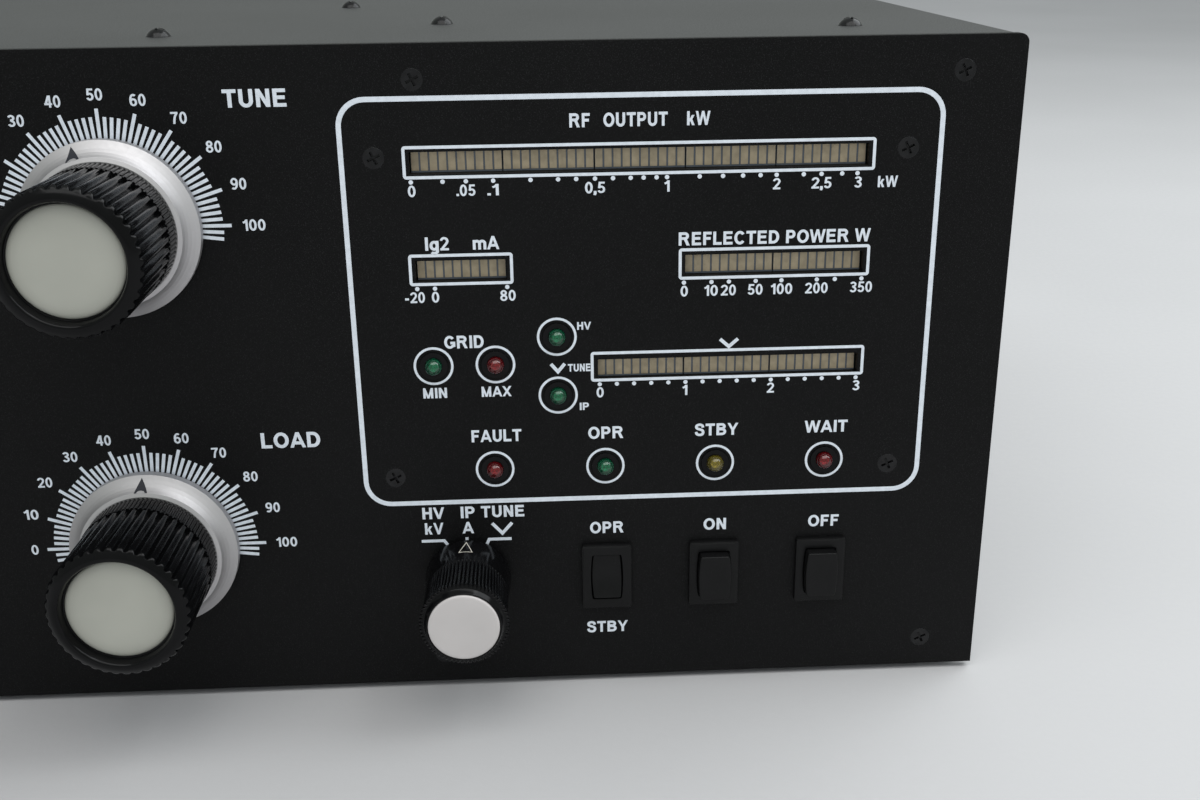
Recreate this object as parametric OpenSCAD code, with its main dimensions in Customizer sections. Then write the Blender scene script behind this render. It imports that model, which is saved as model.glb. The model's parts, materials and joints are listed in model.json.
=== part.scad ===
// Desktop HF linear amplifier with one large tetrode, seen as it comes apart on a bench.
// Millimetres. The table is z = 0, the front panel faces -Y and X runs to the right.
// Inside the modules, x is measured from the panel's centre line, d is the depth behind the
// panel's face and z is the height above the panel's lower edge.

/* [Case] */
// Width of the front panel
panel_w = 485; // [480:1:500]
// Height of the front panel
panel_h = 195; // [193:1:205]
// Thickness of the front panel
panel_t = 3; // [2.6:0.1:3.6]
// Radius of the upper corners of the panel and the cover
corner_r = 2.5; // [1:0.1:4]
// How far the front panel stands out past the cover at each side
panel_overhang = 1.3; // [0.5:0.1:2]
// Depth of the case, from the panel's face to the rear panel's face
case_d = 400; // [398:1:430]
// Thickness of the top cover
cover_t = 1.5; // [1:0.1:1.8]
// Thickness of the folded inner sheets
sheet_t = 1.5; // [1:0.1:2]
// Thickness of the chassis floor
floor_t = 2; // [1.5:0.1:2.5]
// Thickness of the rear panel
rear_t = 2; // [1.5:0.1:3]
// Height of the walls folded up round the chassis tray
tray_wall_h = 17; // [14:1:20]
// Depth of the front bulkhead behind the panel's face
bulkhead_d = 42; // [40:0.5:46]
// Width of the folded flanges
flange_w = 12; // [10:0.5:16]
// Play between sheets that slide past each other
sheet_gap = 0.2; // [0.1:0.05:0.4]

/* [Feet] */
// Height of the rubber feet
foot_h = 5; // [4:0.1:7]
// Radius of the rubber feet
foot_r = 10; // [8:0.5:14]
// Distance of the feet from the sides, the front and the back
foot_inset = 32; // [28:0.5:35]
// Radius of the stem that holds a foot in the floor
foot_stem_r = 3; // [2:0.1:4]
// Height of the panel's lower edge above the table
panel_lift = 2; // [1:0.1:3]

/* [Screws] */
// Radius of a screw's shank
screw_r = 1.5; // [1.2:0.1:2]
// Radius of a countersunk head
flat_head_r = 3; // [2.6:0.1:3.5]
// Length of the countersunk screws
flat_screw_l = 6; // [5:0.5:7]
// Radius of a domed head
dome_head_r = 3.6; // [3:0.1:4.5]
// Height of a domed head
dome_head_h = 2.4; // [1.8:0.1:3]
// Length of the domed screws below the head
dome_screw_l = 6; // [4:0.5:8]
// Distance of the corner screws from the panel's sides
panel_screw_inset = 17; // [12:0.5:22]
// Distance of the panel's screws from its upper and lower edges
panel_screw_edge = 9.5; // [8:0.1:11]
// Depth of the front row of cover screws behind the panel's face
cover_screw_d = 36; // [30:0.5:38]
// Distance of the outer cover screws from the panel's sides
cover_screw_inset = 41; // [30:0.5:50]
// Distance of the cover's side screws from the front and the back
side_screw_inset = 60; // [50:1:80]

/* [Display] */
// Distance of the display's centre from the panel's right edge
display_from_side = 105.15; // [103:0.05:107]
// Distance of the display's centre from the panel's upper edge
display_from_top = 77.75; // [76:0.05:80]
// Distance from the display's centre to the left end of the output bar graph
bars_left = 64.15; // [62:0.05:66]
// Height of the output bar graph above the display's centre
bars_top = 45.85; // [44:0.05:46.5]
// Distance between the rows of bar graphs
bars_pitch = 30.48; // [29:0.02:31]
// Length of one ten-segment bar graph module
module_l = 25.4; // [24.8:0.1:25.6]
// Height of a bar graph module
module_h = 10.16; // [8:0.02:11]
// Depth of a bar graph module
module_d = 8; // [7:0.1:10]
// Width of one lit segment
segment_w = 2; // [1.6:0.05:2.2]
// Height of one lit segment
segment_h = 5.08; // [4:0.02:5.5]
// Height of the windows over the bar graphs
window_h = 6.1; // [5.8:0.1:7.5]
// Distance between the display's screws across the panel
display_screw_dx = 147.7; // [146:0.1:150]
// Distance between the display's screws up the panel
display_screw_dz = 94.9; // [94:0.1:97]
// Margin of the display board round its screws
board_margin = 7; // [5:0.5:8]
// Thickness of the circuit boards
board_t = 1.6; // [1:0.1:2.4]
// Radius of a lamp
led_r = 2.5; // [2:0.1:3]
// Height of a lamp's dome centre in front of the panel
led_reach = 0.8; // [0.5:0.1:2]
// Radius of a lamp holder
led_holder_r = 4.1; // [3.6:0.1:4.6]
// Distance between the two lamps of a pair
lamp_pair_pitch = 17.85; // [16:0.05:20]
// Distance of the lower lamps' row below the display's centre
lamp_row_drop = 45.5; // [43:0.1:47]

/* [Switches] */
// Distance of the last switch from the panel's right edge
switch_from_side = 50.7; // [45:0.1:54]
// Distance between the switches, and between the lamps above them
switch_pitch = 32.9; // [30:0.1:34]
// Height of the switches' centres
switch_z = 35.5; // [33:0.5:38]
// Width of a switch's frame
bezel_w = 15; // [14.4:0.1:17]
// Height of a switch's frame
bezel_h = 21; // [20.4:0.1:23]
// How far a switch's frame stands out of the panel
bezel_t = 2; // [1.5:0.1:3]
// Depth of a switch's body behind the panel's face
switch_body_d = 24; // [20:0.5:30]
// Width of the rocker at its middle
rocker_w = 10; // [8:0.1:10.4]
// Radius of the rocker's ends about its pivot
rocker_r = 8.4; // [7.5:0.1:8.5]
// Tilt of the rocker from its middle position, in degrees
rocker_tilt = 9; // [6:0.5:10]
// Width of a push button at its middle
button_w = 9.6; // [8:0.1:10.2]
// Height of a push button
button_h = 14.5; // [12:0.1:15.5]
// How far a push button stands out of its frame
button_reach = 4; // [3:0.1:5]
// Travel of a push button
button_travel = 2.5; // [1:0.1:2.8]
// How much the sides of the rocker and the buttons bow out
side_bow = 0.5; // [0.2:0.05:0.8]
// Play round the buttons and the rocker
button_gap = 0.3; // [0.2:0.05:0.5]

/* [Tuning knobs] */
// Distance of the tuning knobs from the centre line, to the left
tuning_x = 9; // [6:0.5:12]
// Distance of the upper knob's centre from the panel's upper edge
tune_from_top = 48; // [46:0.5:52]
// Height of the lower knob's centre
load_z = 50; // [48:0.5:54]
// Reading that the upper dial shows, on its scale of 0 to 100
tune_reading = 41; // [0:1:100]
// Reading that the lower dial shows, on its scale of 0 to 100
load_reading = 49.5; // [0:0.5:100]
// Radius of the aluminium dial skirt
skirt_r = 24.7; // [23:0.1:26]
// Radius at the top of the skirt's slope
skirt_top_r = 20.7; // [20:0.1:21.5]
// Gap between the skirt and the panel
skirt_gap = 1; // [0.5:0.1:1.5]
// Height of the skirt's outer edge in front of the panel
skirt_edge_h = 3.5; // [2.5:0.1:4]
// Height of the skirt's inner lip in front of the panel
skirt_lip_h = 8; // [7:0.1:9]
// Radius of the knurled locking ring
ring_r = 19.4; // [18.5:0.1:19.6]
// Length of the knurled locking ring
ring_h = 7; // [5:0.1:8]
// Number of knurls round the locking ring
ring_knurls = 96; // [60:4:120]
// Radius over the knob's flutes
knob_r = 19.3; // [18:0.1:20]
// Depth of the knob's flutes
flute_depth = 1; // [0.5:0.05:1.4]
// Number of flutes round the knob
knob_flutes = 42; // [30:1:48]
// Distance of the knob's front edge from the panel
knob_front = 38.8; // [34:0.1:44]
// Radius of the cap in the knob's front
knob_cap_r = 14.7; // [13:0.1:15.2]
// How far a cap stands out of its knob
cap_proud = 0.7; // [0.3:0.1:1.5]
// Thickness of the caps
cap_t = 2; // [1.5:0.1:3]
// Radius of the control shafts
shaft_r = 3; // [2.5:0.1:3.1]
// Outer radius of the slow sleeve that carries the dial
sleeve_r = 5; // [4.5:0.1:5.5]
// Running clearance of the shafts, on the radius
run_gap = 0.05; // [0.02:0.01:0.09]

/* [Selector knobs] */
// Distance of the meter selector from the first switch, to the left
meter_from_switch = 42.3; // [38:0.1:46]
// Height of the meter selector's centre
meter_z = 36.7; // [34:0.1:39]
// Distance of the band switch from the centre line, to the left
band_x = 128; // [120:1:135]
// Radius of a selector knob's skirt
selector_skirt_r = 13; // [12.5:0.1:14]
// Radius of a selector knob's front rim, over its flutes
selector_r = 12.9; // [12.4:0.1:13.4]
// Radius of a selector knob's waist, over its flutes
selector_waist_r = 12.3; // [11.8:0.1:12.6]
// Number of flutes round a selector knob
selector_flutes = 66; // [48:2:72]
// Distance of a selector knob's back from the panel
selector_back = 2; // [1.8:0.1:3]
// Distance of a selector knob's front rim from the panel
selector_front = 30.5; // [26:0.1:34]
// Radius of the cap in a selector knob
selector_cap_r = 10.2; // [9:0.1:10.6]
// Radius of a switch bush
bush_r = 4.6; // [4.2:0.1:5]

/* [Air capacitors] */
// Half the width of a capacitor's end plates
end_plate_half = 38; // [37:0.5:39]
// Thickness of a capacitor's end plates
end_plate_t = 3; // [2:0.5:4]
// Depth of a capacitor's front end plate behind the panel's face
capacitor_d = 52; // [50:0.5:56]
// Length of a capacitor between its end plates
capacitor_l = 92; // [90:1:100]
// Radius of the rotor plates
rotor_r = 32; // [28:0.5:33]
// Thickness of a capacitor plate
plate_t = 1; // [0.6:0.1:1.2]
// Air gap between the upper capacitor's plates
tune_air = 3; // [2.5:0.1:4]
// Air gap between the lower capacitor's plates
load_air = 1.5; // [1.2:0.1:2.2]

/* [Tube and blower] */
// Distance of the tube's axis from the panel's left edge
tube_from_side = 77.5; // [74:0.5:82]
// Distance of the tube's axis from the rear panel's face
tube_from_rear = 87; // [80:1:100]
// Radius of the tube's anode cooler
cooler_r = 45; // [38:0.5:46]
// Height of the anode cooler
cooler_h = 55; // [40:1:60]
// Number of fins in the anode cooler
cooler_fins = 40; // [24:2:48]
// Thickness of a cooler fin
fin_t = 0.8; // [0.5:0.1:1]
// Width of the air box under the tube
air_box_w = 120; // [112:1:130]
// Height of the air box under the tube
air_box_h = 42; // [38:1:46]
// Distance of the blower's axis from the air box's side
blower_from_box = 60; // [58:1:66]
// Height of the blower's axis
blower_z = 80; // [78:1:90]
// Radius of the blower wheel
wheel_r = 42; // [36:0.5:43]
// Width of the blower wheel
wheel_w = 42; // [34:1:44]
// Number of blades in the blower wheel
wheel_blades = 30; // [18:2:40]
// Depth of the blower's casing
blower_d = 52; // [50:1:60]
// Wall of the blower's casing
blower_wall = 1.5; // [1:0.1:2]

/* [Power supply] */
// Distance of the transformers' axis from the panel's right edge
transformer_from_side = 92.5; // [88:0.5:100]
// Distance of the transformers' axis from the rear panel's face
transformer_from_rear = 92; // [88:1:100]
// Outer radius of a transformer
transformer_r = 72; // [60:1:76]
// Radius of a transformer's centre hole
transformer_hole_r = 20; // [15:1:28]
// Height of one transformer
transformer_h = 62; // [50:1:68]
// Thickness of the rubber pads between the transformers
pad_t = 3; // [2:0.5:5]
// Distance of the rectifier board's centre from the panel's right edge
rectifier_from_side = 82.5; // [80:0.5:86]
// Width of the rectifier board
rectifier_w = 130; // [120:1:136]
// Length of the rectifier board
rectifier_l = 150; // [140:1:160]
// Radius of a smoothing capacitor
smoothing_r = 16; // [12:0.5:17]
// Height of a smoothing capacitor
smoothing_h = 60; // [40:1:80]
// Height of the spacers under the rectifier board
spacer_h = 8; // [5:0.5:12]
// Radius over the corners of the threaded spacers and their nuts
spacer_r = 3.2; // [2.8:0.1:4]

/* [Rear panel] */
// How far the coaxial sockets stand out of the rear panel
socket_reach = 15.5; // [14:0.1:18]
// Outer radius of a coaxial socket's barrel
socket_r = 7.94; // [7.5:0.02:8.2]
// Side of a coaxial socket's square flange
socket_flange = 25.4; // [24:0.1:27]
// Height of the coaxial sockets
socket_z = 66; // [62:1:72]
// Distance of the outer coaxial socket from the panel's side
socket_from_side = 37.5; // [32:0.5:42]
// Distance between the coaxial sockets
socket_pitch = 40; // [32:0.5:44]
// Radius of the ground stud
stud_r = 4; // [3:0.1:5]
// Width of the mains inlet's flange
inlet_w = 50; // [46:0.5:54]
// Height of the mains inlet's flange
inlet_h = 30; // [28:0.5:34]
// Distance of the mains inlet's centre from the panel's side
inlet_from_side = 42.5; // [38:0.5:50]
// Height of the mains inlet's centre
inlet_z = 45; // [40:0.5:50]
// Distance of the fuse holders from the panel's upper edge
fuse_from_top = 35; // [28:0.5:40]
// Distance between the fuse holders
fuse_pitch = 26; // [22:0.5:30]
// Radius of a fuse holder's body
fuse_body_r = 6.5; // [5:0.1:7.5]
// Distance of the control sockets from the panel's upper edge
jack_from_top = 45; // [30:0.5:50]
// Distance between the control sockets
jack_pitch = 24; // [18:0.5:28]

/* [Hidden] */
$fn = 48;

powder_black = "#202022";
gloss_black = "#101012";
switch_black = "#18181a";
bare_metal = "#b8babc";
satin_aluminium = "#c9c8c6";
cap_grey = "#a3a398";
board_green = "#1f5a3a";
ceramic_white = "#e6e2da";
copper = "#c07a4a";
eps = 0.01;

// The panel's place in the box of the whole object, which is centred over the origin
knob_reach = knob_front + cap_proud;
face_y = (knob_reach - case_d - socket_reach) / 2;

// Sheet-metal levels
tray_z = foot_h - panel_lift;
floor_z = tray_z + floor_t;
ceiling_z = panel_h - cover_t - sheet_gap;
cover_half = panel_w / 2 - panel_overhang;
tray_half = cover_half - cover_t - sheet_gap;
inner_half = tray_half - sheet_t - sheet_gap;
rear_face_d = case_d - rear_t;
tray_back_d = rear_face_d - sheet_t;

// Places on the panel
display_x = panel_w / 2 - display_from_side;
display_z = panel_h - display_from_top;
switch_xs = [for (i = [2, 1, 0]) panel_w / 2 - switch_from_side - i * switch_pitch];
tune_z = panel_h - tune_from_top;
band_z = panel_h / 2;
meter_x = switch_xs[0] - meter_from_switch;

// Moves the children from the case's own coordinates to the object's
module in_case() {
    translate([0, face_y, panel_lift]) children();
}

// Stands the children on the panel's face: local x right, y up, z out of the panel
module on_face(x, z) {
    in_case() translate([x, 0, z]) rotate([90, 0, 0]) children();
}

// Stands the children on the rear panel's face: local y up, z out of the back
module on_rear(x, z) {
    in_case() translate([x, case_d, z]) rotate([90, 0, 180]) children();
}

// Thickens a flat shape from depth d behind the face to depth d + t
module layer(d, t) {
    translate([0, 0, -d - t]) linear_extrude(t) children();
}

// Box between two corners
module box(low, high) {
    translate(low) cube(high - low);
}

// Centred rectangle with round corners
module rounded_rect(w, h, r) {
    square([w - 2 * r, h], center = true);
    square([w, h - 2 * r], center = true);
    for (sx = [-1, 1], sy = [-1, 1]) translate([sx * (w / 2 - r), sy * (h / 2 - r)]) circle(r);
}

// Rectangle on the x axis with its two upper corners rounded
module round_topped(w, h, r) {
    translate([-w / 2, 0]) square([w, h - r]);
    translate([-w / 2 + r, 0]) square([w - 2 * r, h]);
    for (s = [-1, 1]) translate([s * (w / 2 - r), h - r]) circle(r);
}

// Centred rectangle whose long sides bow outwards
module bowed_rect(w, h, bow) {
    bow_r = (h * h / 4 + bow * bow) / (2 * bow);
    intersection() {
        square([w, h], center = true);
        translate([w / 2 - bow_r, 0]) circle(bow_r, $fn = 96);
        translate([bow_r - w / 2, 0]) circle(bow_r, $fn = 96);
    }
}

// Ring between two radii
module ring(outer, inner) {
    difference() {
        circle(outer);
        circle(inner);
    }
}

// Round outline with straight-sided teeth
module toothed(r, depth, teeth) {
    step = 360 / teeth;
    polygon([for (i = [0 : teeth - 1], k = [0 : 3])
        let (a = step * (i + [0.08, 0.42, 0.58, 0.92][k]), q = k < 2 ? r : r - depth)
        q * [sin(a), cos(a)]]);
}

// Places of the power supply and of the divider wall beside it
rectifier_x = panel_w / 2 - rectifier_from_side;
divider_gap = 9.5;
divider_front_x = rectifier_x - rectifier_w / 2 - divider_gap;
divider_back_x = 45.5;
divider_step_d = 114;
divider_screw_step = 46;
divider_screws = [
    [divider_front_x - flange_w / 2, divider_step_d - divider_screw_step],
    [divider_back_x - flange_w / 2, divider_step_d + divider_screw_step]];

// ---- Fasteners ----

flat_head_h = flat_head_r - screw_r;
recess_depth = 1;
panel_screw_xs = [-1, -1 / 3, 1 / 3, 1] * (panel_w / 2 - panel_screw_inset);
panel_screw_zs = [panel_screw_edge, panel_h - panel_screw_edge];
display_screws = [for (sx = [-1, 1], sz = [-1, 1])
    [display_x + sx * display_screw_dx / 2, display_z + sz * display_screw_dz / 2]];
side_screw_ds = [side_screw_inset, case_d / 2, case_d - side_screw_inset];
side_screw_z = tray_z + tray_wall_h / 2 + floor_t / 2;
rear_screw_d = tray_back_d - flange_w / 2;
cover_screw_xs = [-1, 0, 1] * (panel_w / 2 - cover_screw_inset);
dome_screws = concat(
    [for (x = cover_screw_xs, d = [cover_screw_d, rear_screw_d]) [x, d]],
    divider_screws);

// Room that a countersunk screw takes, with its head at z = 0
module flat_screw_body(length) {
    rotate_extrude() polygon([[0, 0], [flat_head_r, 0], [screw_r, -flat_head_h],
        [screw_r, -length], [0, -length]]);
}

// Cross-shaped recess in a screw head
module cross_recess(r, depth) {
    for (turn = [0, 90]) rotate(turn)
        translate([-r, -r / 5, -depth]) cube([2 * r, 2 * r / 5, 2 * depth]);
}

module flat_screw(turn) {
    difference() {
        flat_screw_body(flat_screw_l);
        rotate(turn) cross_recess(flat_head_r * 0.62, recess_depth);
    }
}

// Places the children at every countersunk screw of the panel's face
module at_panel_screws() {
    for (x = panel_screw_xs, z = panel_screw_zs) on_face(x, z) children();
    for (p = display_screws) on_face(p[0], p[1]) children();
}

// Places the children at every countersunk screw of the cover's sides
module at_side_screws() {
    for (s = [-1, 1], d = side_screw_ds)
        in_case() translate([s * cover_half, d, side_screw_z]) rotate([0, s * 90, 0]) children();
}

module countersunk_screws() color(gloss_black) {
    at_panel_screws() flat_screw(25);
    at_side_screws() flat_screw(10);
}

module domed_screw() {
    ball_r = (dome_head_r * dome_head_r + dome_head_h * dome_head_h) / (2 * dome_head_h);
    difference() {
        union() {
            intersection() {
                translate([0, 0, dome_head_h - ball_r]) sphere(ball_r);
                cylinder(r = dome_head_r, h = dome_head_h);
            }
            translate([0, 0, -dome_screw_l]) cylinder(r = screw_r, h = dome_screw_l + eps);
        }
        translate([0, 0, dome_head_h]) cross_recess(dome_head_r * 0.55, recess_depth);
    }
}

// Places the children at every domed screw of the cover's top
module at_dome_screws() {
    for (p = dome_screws) in_case() translate([p[0], p[1], panel_h]) children();
}

module domed_screws() color(gloss_black) at_dome_screws() domed_screw();

// Straight hole for a screw that stands at z = 0
module screw_hole(length) {
    translate([0, 0, -length]) cylinder(r = screw_r, h = length + 1);
}

// ---- Case ----

vent_hole_r = 2.5;
vent_hole_pitch = 7.5;
slot_w = 3;
slot_h = 60;
slot_count = 12;
slot_inset = 60;
cable_hole_w = 90;
cable_hole_h = 40;
tube_x = panel_w / 2 - tube_from_side;
tube_d = case_d - tube_from_rear;
feet = [for (sx = [-1, 1], d = [foot_inset, case_d - foot_inset])
    [sx * (cover_half - foot_inset), d]];

module front_panel() color(powder_black) {
    difference() {
        on_face(0, 0) layer(0, panel_t) round_topped(panel_w, panel_h, corner_r);
        for (row = bar_rows) on_face(row[0], row[1]) layer(-1, panel_t + 2)
            translate([-window_gap, -window_h / 2])
                square([row[2] * module_l + 2 * window_gap, window_h]);
        for (p = all_leds) on_face(p[0], p[1]) layer(-1, panel_t + 2)
            circle(led_holder_r);
        for (x = switch_xs) on_face(x, switch_z) layer(-1, panel_t + 2)
            square([switch_body_w, switch_body_h], center = true);
        for (z = [tune_z, load_z]) on_face(-tuning_x, z) layer(-1, panel_t + 2)
            circle(sleeve_r + 0.5);
        on_face(meter_x, meter_z) layer(-1, panel_t + 2) circle(bush_r);
        on_face(-band_x, band_z) layer(-1, panel_t + 2) circle(shaft_r + 0.5);
        at_panel_screws() flat_screw_body(flat_screw_l);
    }
}

module chassis_tray() color(bare_metal) {
    difference() {
        in_case() box([-tray_half, panel_t, tray_z],
            [tray_half, rear_face_d, tray_z + tray_wall_h]);
        in_case() box([sheet_t - tray_half, panel_t + sheet_t, floor_z],
            [tray_half - sheet_t, tray_back_d, tray_z + tray_wall_h + 1]);
        for (x = panel_screw_xs) on_face(x, panel_screw_edge) screw_hole(flat_screw_l);
        at_side_screws() screw_hole(flat_screw_l);
        for (p = feet) in_case() translate([p[0], p[1], tray_z - 1])
            cylinder(r = foot_stem_r, h = floor_t + 2);
    }
}

module rubber_feet() color("#17171a") {
    for (p = feet) in_case() translate([p[0], p[1], -panel_lift]) rotate_extrude()
        polygon([[0, 0], [foot_r - 1, 0], [foot_r, 1], [foot_r * 0.9, foot_h],
            [foot_stem_r, foot_h], [foot_stem_r, foot_h + floor_t],
            [foot_stem_r + 1, foot_h + floor_t], [foot_stem_r, foot_h + floor_t + 2],
            [0, foot_h + floor_t + 2]]);
}

// Sheet behind the panel, folded forward at the top and down again behind the panel
module front_bulkhead() color(bare_metal) {
    lip_h = panel_screw_edge + flange_w / 2 - cover_t;
    difference() {
        in_case() union() {
            box([-inner_half, bulkhead_d, floor_z],
                [inner_half, bulkhead_d + sheet_t, ceiling_z]);
            box([-inner_half, panel_t, ceiling_z - sheet_t],
                [inner_half, bulkhead_d + eps, ceiling_z]);
            box([-inner_half, panel_t, ceiling_z - lip_h],
                [inner_half, panel_t + sheet_t, ceiling_z]);
        }
        for (x = panel_screw_xs) on_face(x, panel_h - panel_screw_edge)
            screw_hole(flat_screw_l);
        at_dome_screws() screw_hole(dome_screw_l);
        for (z = [tune_z, load_z]) on_face(-tuning_x, z) layer(bulkhead_d - 1, sheet_t + 2)
            circle(sleeve_r + 3);
        on_face(-band_x, band_z) layer(bulkhead_d - 1, sheet_t + 2) circle(bush_r);
        on_face(display_x, display_z) layer(bulkhead_d - 1, sheet_t + 2)
            rounded_rect(cable_hole_w, cable_hole_h, 6);
    }
}

// Wall between the radio-frequency side and the power supply, stepped in plan
module divider_wall() color(bare_metal) {
    front_x = divider_front_x;
    back_x = divider_back_x;
    step_d = divider_step_d;
    start_d = bulkhead_d + sheet_t + sheet_gap;
    end_d = tray_back_d - sheet_gap;
    difference() {
        in_case() union() {
            translate([0, 0, floor_z]) linear_extrude(ceiling_z - floor_z)
                polygon([[front_x, start_d], [front_x, step_d], [back_x, step_d],
                    [back_x, end_d], [back_x - sheet_t, end_d],
                    [back_x - sheet_t, step_d - sheet_t],
                    [front_x - sheet_t, step_d - sheet_t], [front_x - sheet_t, start_d]]);
            box([front_x - flange_w, start_d, ceiling_z - sheet_t],
                [front_x, step_d, ceiling_z]);
            box([back_x - flange_w, step_d, ceiling_z - sheet_t],
                [back_x, end_d - flange_w - 1, ceiling_z]);
        }
        in_case() box([back_x - flange_w - 1, end_d - flange_w, ceiling_z - sheet_t - sheet_gap],
            [back_x + 1, end_d + 1, ceiling_z + 1]);
        at_dome_screws() screw_hole(dome_screw_l);
    }
}

module rear_panel() color(powder_black) {
    difference() {
        in_case() union() {
            box([-tray_half, rear_face_d, tray_z], [tray_half, case_d, ceiling_z]);
            box([-tray_half, tray_back_d - flange_w, ceiling_z - sheet_t],
                [tray_half, rear_face_d + eps, ceiling_z]);
        }
        at_dome_screws() screw_hole(dome_screw_l);
        for (x = rf_socket_xs) on_rear(x, socket_z) layer(-1, rear_t + 2) circle(socket_r);
        on_rear(ground_x, ground_z) layer(-1, rear_t + 2) circle(stud_r);
        on_rear(inlet_x, inlet_z) layer(-1, rear_t + 2)
            square([inlet_body_w, inlet_body_h], center = true);
        for (x = fuse_xs) on_rear(x, fuse_z) layer(-1, rear_t + 2) circle(fuse_body_r);
        for (x = jack_xs) on_rear(x, jack_z) layer(-1, rear_t + 2) circle(jack_thread_r);
        on_rear(blower_x, blower_z) for (q = [1 : 4], i = [0 : 6 * q - 1])
            rotate(60 * i / q) translate([q * intake_pitch, 0]) layer(-1, rear_t + 2)
                circle(intake_hole_r);
        on_rear(blower_x, blower_z) layer(-1, rear_t + 2) circle(intake_hole_r);
    }
}

module top_cover() color(powder_black) {
    difference() {
        on_face(0, 0) layer(panel_t, case_d - panel_t) difference() {
            translate([0, tray_z]) round_topped(2 * cover_half, panel_h - tray_z, corner_r);
            translate([cover_t - cover_half, tray_z - 1])
                square([2 * (cover_half - cover_t), panel_h - cover_t - tray_z + 1]);
        }
        for (i = [-6 : 6], j = [-6 : 6]) if (norm([i, j]) * vent_hole_pitch < cooler_r)
            in_case() translate([i * vent_hole_pitch - tube_x, j * vent_hole_pitch + tube_d,
                panel_h - cover_t - 1]) cylinder(r = vent_hole_r, h = cover_t + 2, $fn = 24);
        for (i = [0 : slot_count - 1]) in_case()
            translate([0, case_d - slot_inset - 3 * slot_w * i - slot_w / 2, panel_h / 2])
                cube([2 * cover_half + 2, slot_w, slot_h], center = true);
        at_dome_screws() screw_hole(dome_screw_l);
        at_side_screws() flat_screw_body(flat_screw_l);
    }
}

// ---- Display ----

window_gap = 0.1;
bars_left_x = display_x - bars_left;
bars_right_x = bars_left_x + 5 * module_l;
row_zs = [for (i = [0 : 2]) display_z + bars_top - i * bars_pitch];
// Left end, height and number of ten-segment modules of each bar graph
bar_rows = [
    [bars_left_x, row_zs[0], 5],
    [bars_left_x, row_zs[1], 1],
    [bars_right_x - 2 * module_l, row_zs[1], 2],
    [bars_right_x - 3 * module_l, row_zs[2], 3]];
// Middle of the pair of lamps side by side, and of the pair one above the other
grid_lamps = [display_x - 51.8, display_z - 12.75];
tuning_lamps = [display_x - 24.95, display_z - 13.75];
pair_half = lamp_pair_pitch / 2;
lamp_row_z = display_z - lamp_row_drop;
green_at = [grid_lamps - [pair_half, 0], tuning_lamps + [0, pair_half],
    tuning_lamps - [0, pair_half], [switch_xs[0], lamp_row_z]];
red_at = [grid_lamps + [pair_half, 0], [switch_xs[0] - switch_pitch, lamp_row_z],
    [switch_xs[2], lamp_row_z]];
yellow_at = [[switch_xs[1], lamp_row_z]];
all_leds = concat(green_at, red_at, yellow_at);
board_d = panel_t + module_d;
led_flange_t = 1;
led_flange_d = panel_t + 3;
led_lead_pitch = 2.54;
chip_w = 36;
chip_h = 14;
chip_t = 4;
plug_w = 40;
plug_h = 8;
plug_t = 9;
nut_h = 2.4;

// Places the children at the left end of each bar graph module
module at_modules() {
    for (row = bar_rows, i = [0 : row[2] - 1])
        on_face(row[0] + i * module_l, row[1]) children();
}

// The ten segments of one module, as seen from the front
module segments() {
    step = module_l / 10;
    for (i = [0 : 9]) translate([step * (i + 0.5) - segment_w / 2, -segment_h / 2])
        square([segment_w, segment_h]);
}

// Light guide of one module: ten teeth on a common web
module light_guide() {
    layer(panel_t - 0.1, 1.6 + eps) segments();
    layer(panel_t + 1.5, 1) translate([0.6, -segment_h / 2]) square([module_l - 1.2, segment_h]);
}

module bar_modules() color("#5f666c") at_modules() difference() {
    layer(panel_t, module_d) translate([0.15, -module_h / 2])
        square([module_l - 0.3, module_h]);
    light_guide();
}

module bar_segments() color("#8c7d62") at_modules() light_guide();

module display_board() color(board_green) {
    difference() {
        union() {
            on_face(display_x, display_z) {
                layer(board_d, board_t)
                    square([display_screw_dx, display_screw_dz] + 2 * [board_margin, board_margin],
                        center = true);
                for (s = [-1, 1]) layer(board_d + board_t - eps, chip_t)
                    translate([s * chip_w, chip_h / 2]) square([chip_w, chip_h], center = true);
                layer(board_d + board_t - eps, plug_t) translate([0, plug_h - display_screw_dz / 2])
                    square([plug_w, plug_h], center = true);
            }
        }
        for (p = display_screws) on_face(p[0], p[1]) layer(board_d - 1, board_t + 2)
            circle(screw_r);
    }
}

transformer_x = panel_w / 2 - transformer_from_side;
transformer_d = case_d - transformer_from_rear;
// The board lies midway between the bulkhead and the transformers
rectifier_d = (bulkhead_d + sheet_t + transformer_d - transformer_r) / 2;
rectifier_margin = 6;
rectifier_corners = [for (sx = [-1, 1], sd = [-1, 1])
    [rectifier_x + sx * (rectifier_w / 2 - rectifier_margin),
        rectifier_d + sd * (rectifier_l / 2 - rectifier_margin)]];

// Threaded spacers: four behind the display's screws and four under the rectifier board
module board_spacers() color("#caa64e") {
    for (p = display_screws) on_face(p[0], p[1]) difference() {
        union() {
            layer(panel_t, module_d) circle(spacer_r, $fn = 6);
            layer(board_d - eps, board_t + nut_h + 0.6) circle(screw_r);
            layer(board_d + board_t, nut_h) circle(spacer_r, $fn = 6);
        }
        screw_hole(flat_screw_l);
    }
    for (p = rectifier_corners) in_case() translate([p[0], p[1], floor_z]) {
        cylinder(r = spacer_r, h = spacer_h, $fn = 6);
        cylinder(r = screw_r, h = spacer_h + board_t + nut_h + 0.6);
        translate([0, 0, spacer_h + board_t]) cylinder(r = spacer_r, h = nut_h, $fn = 6);
    }
}

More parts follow.
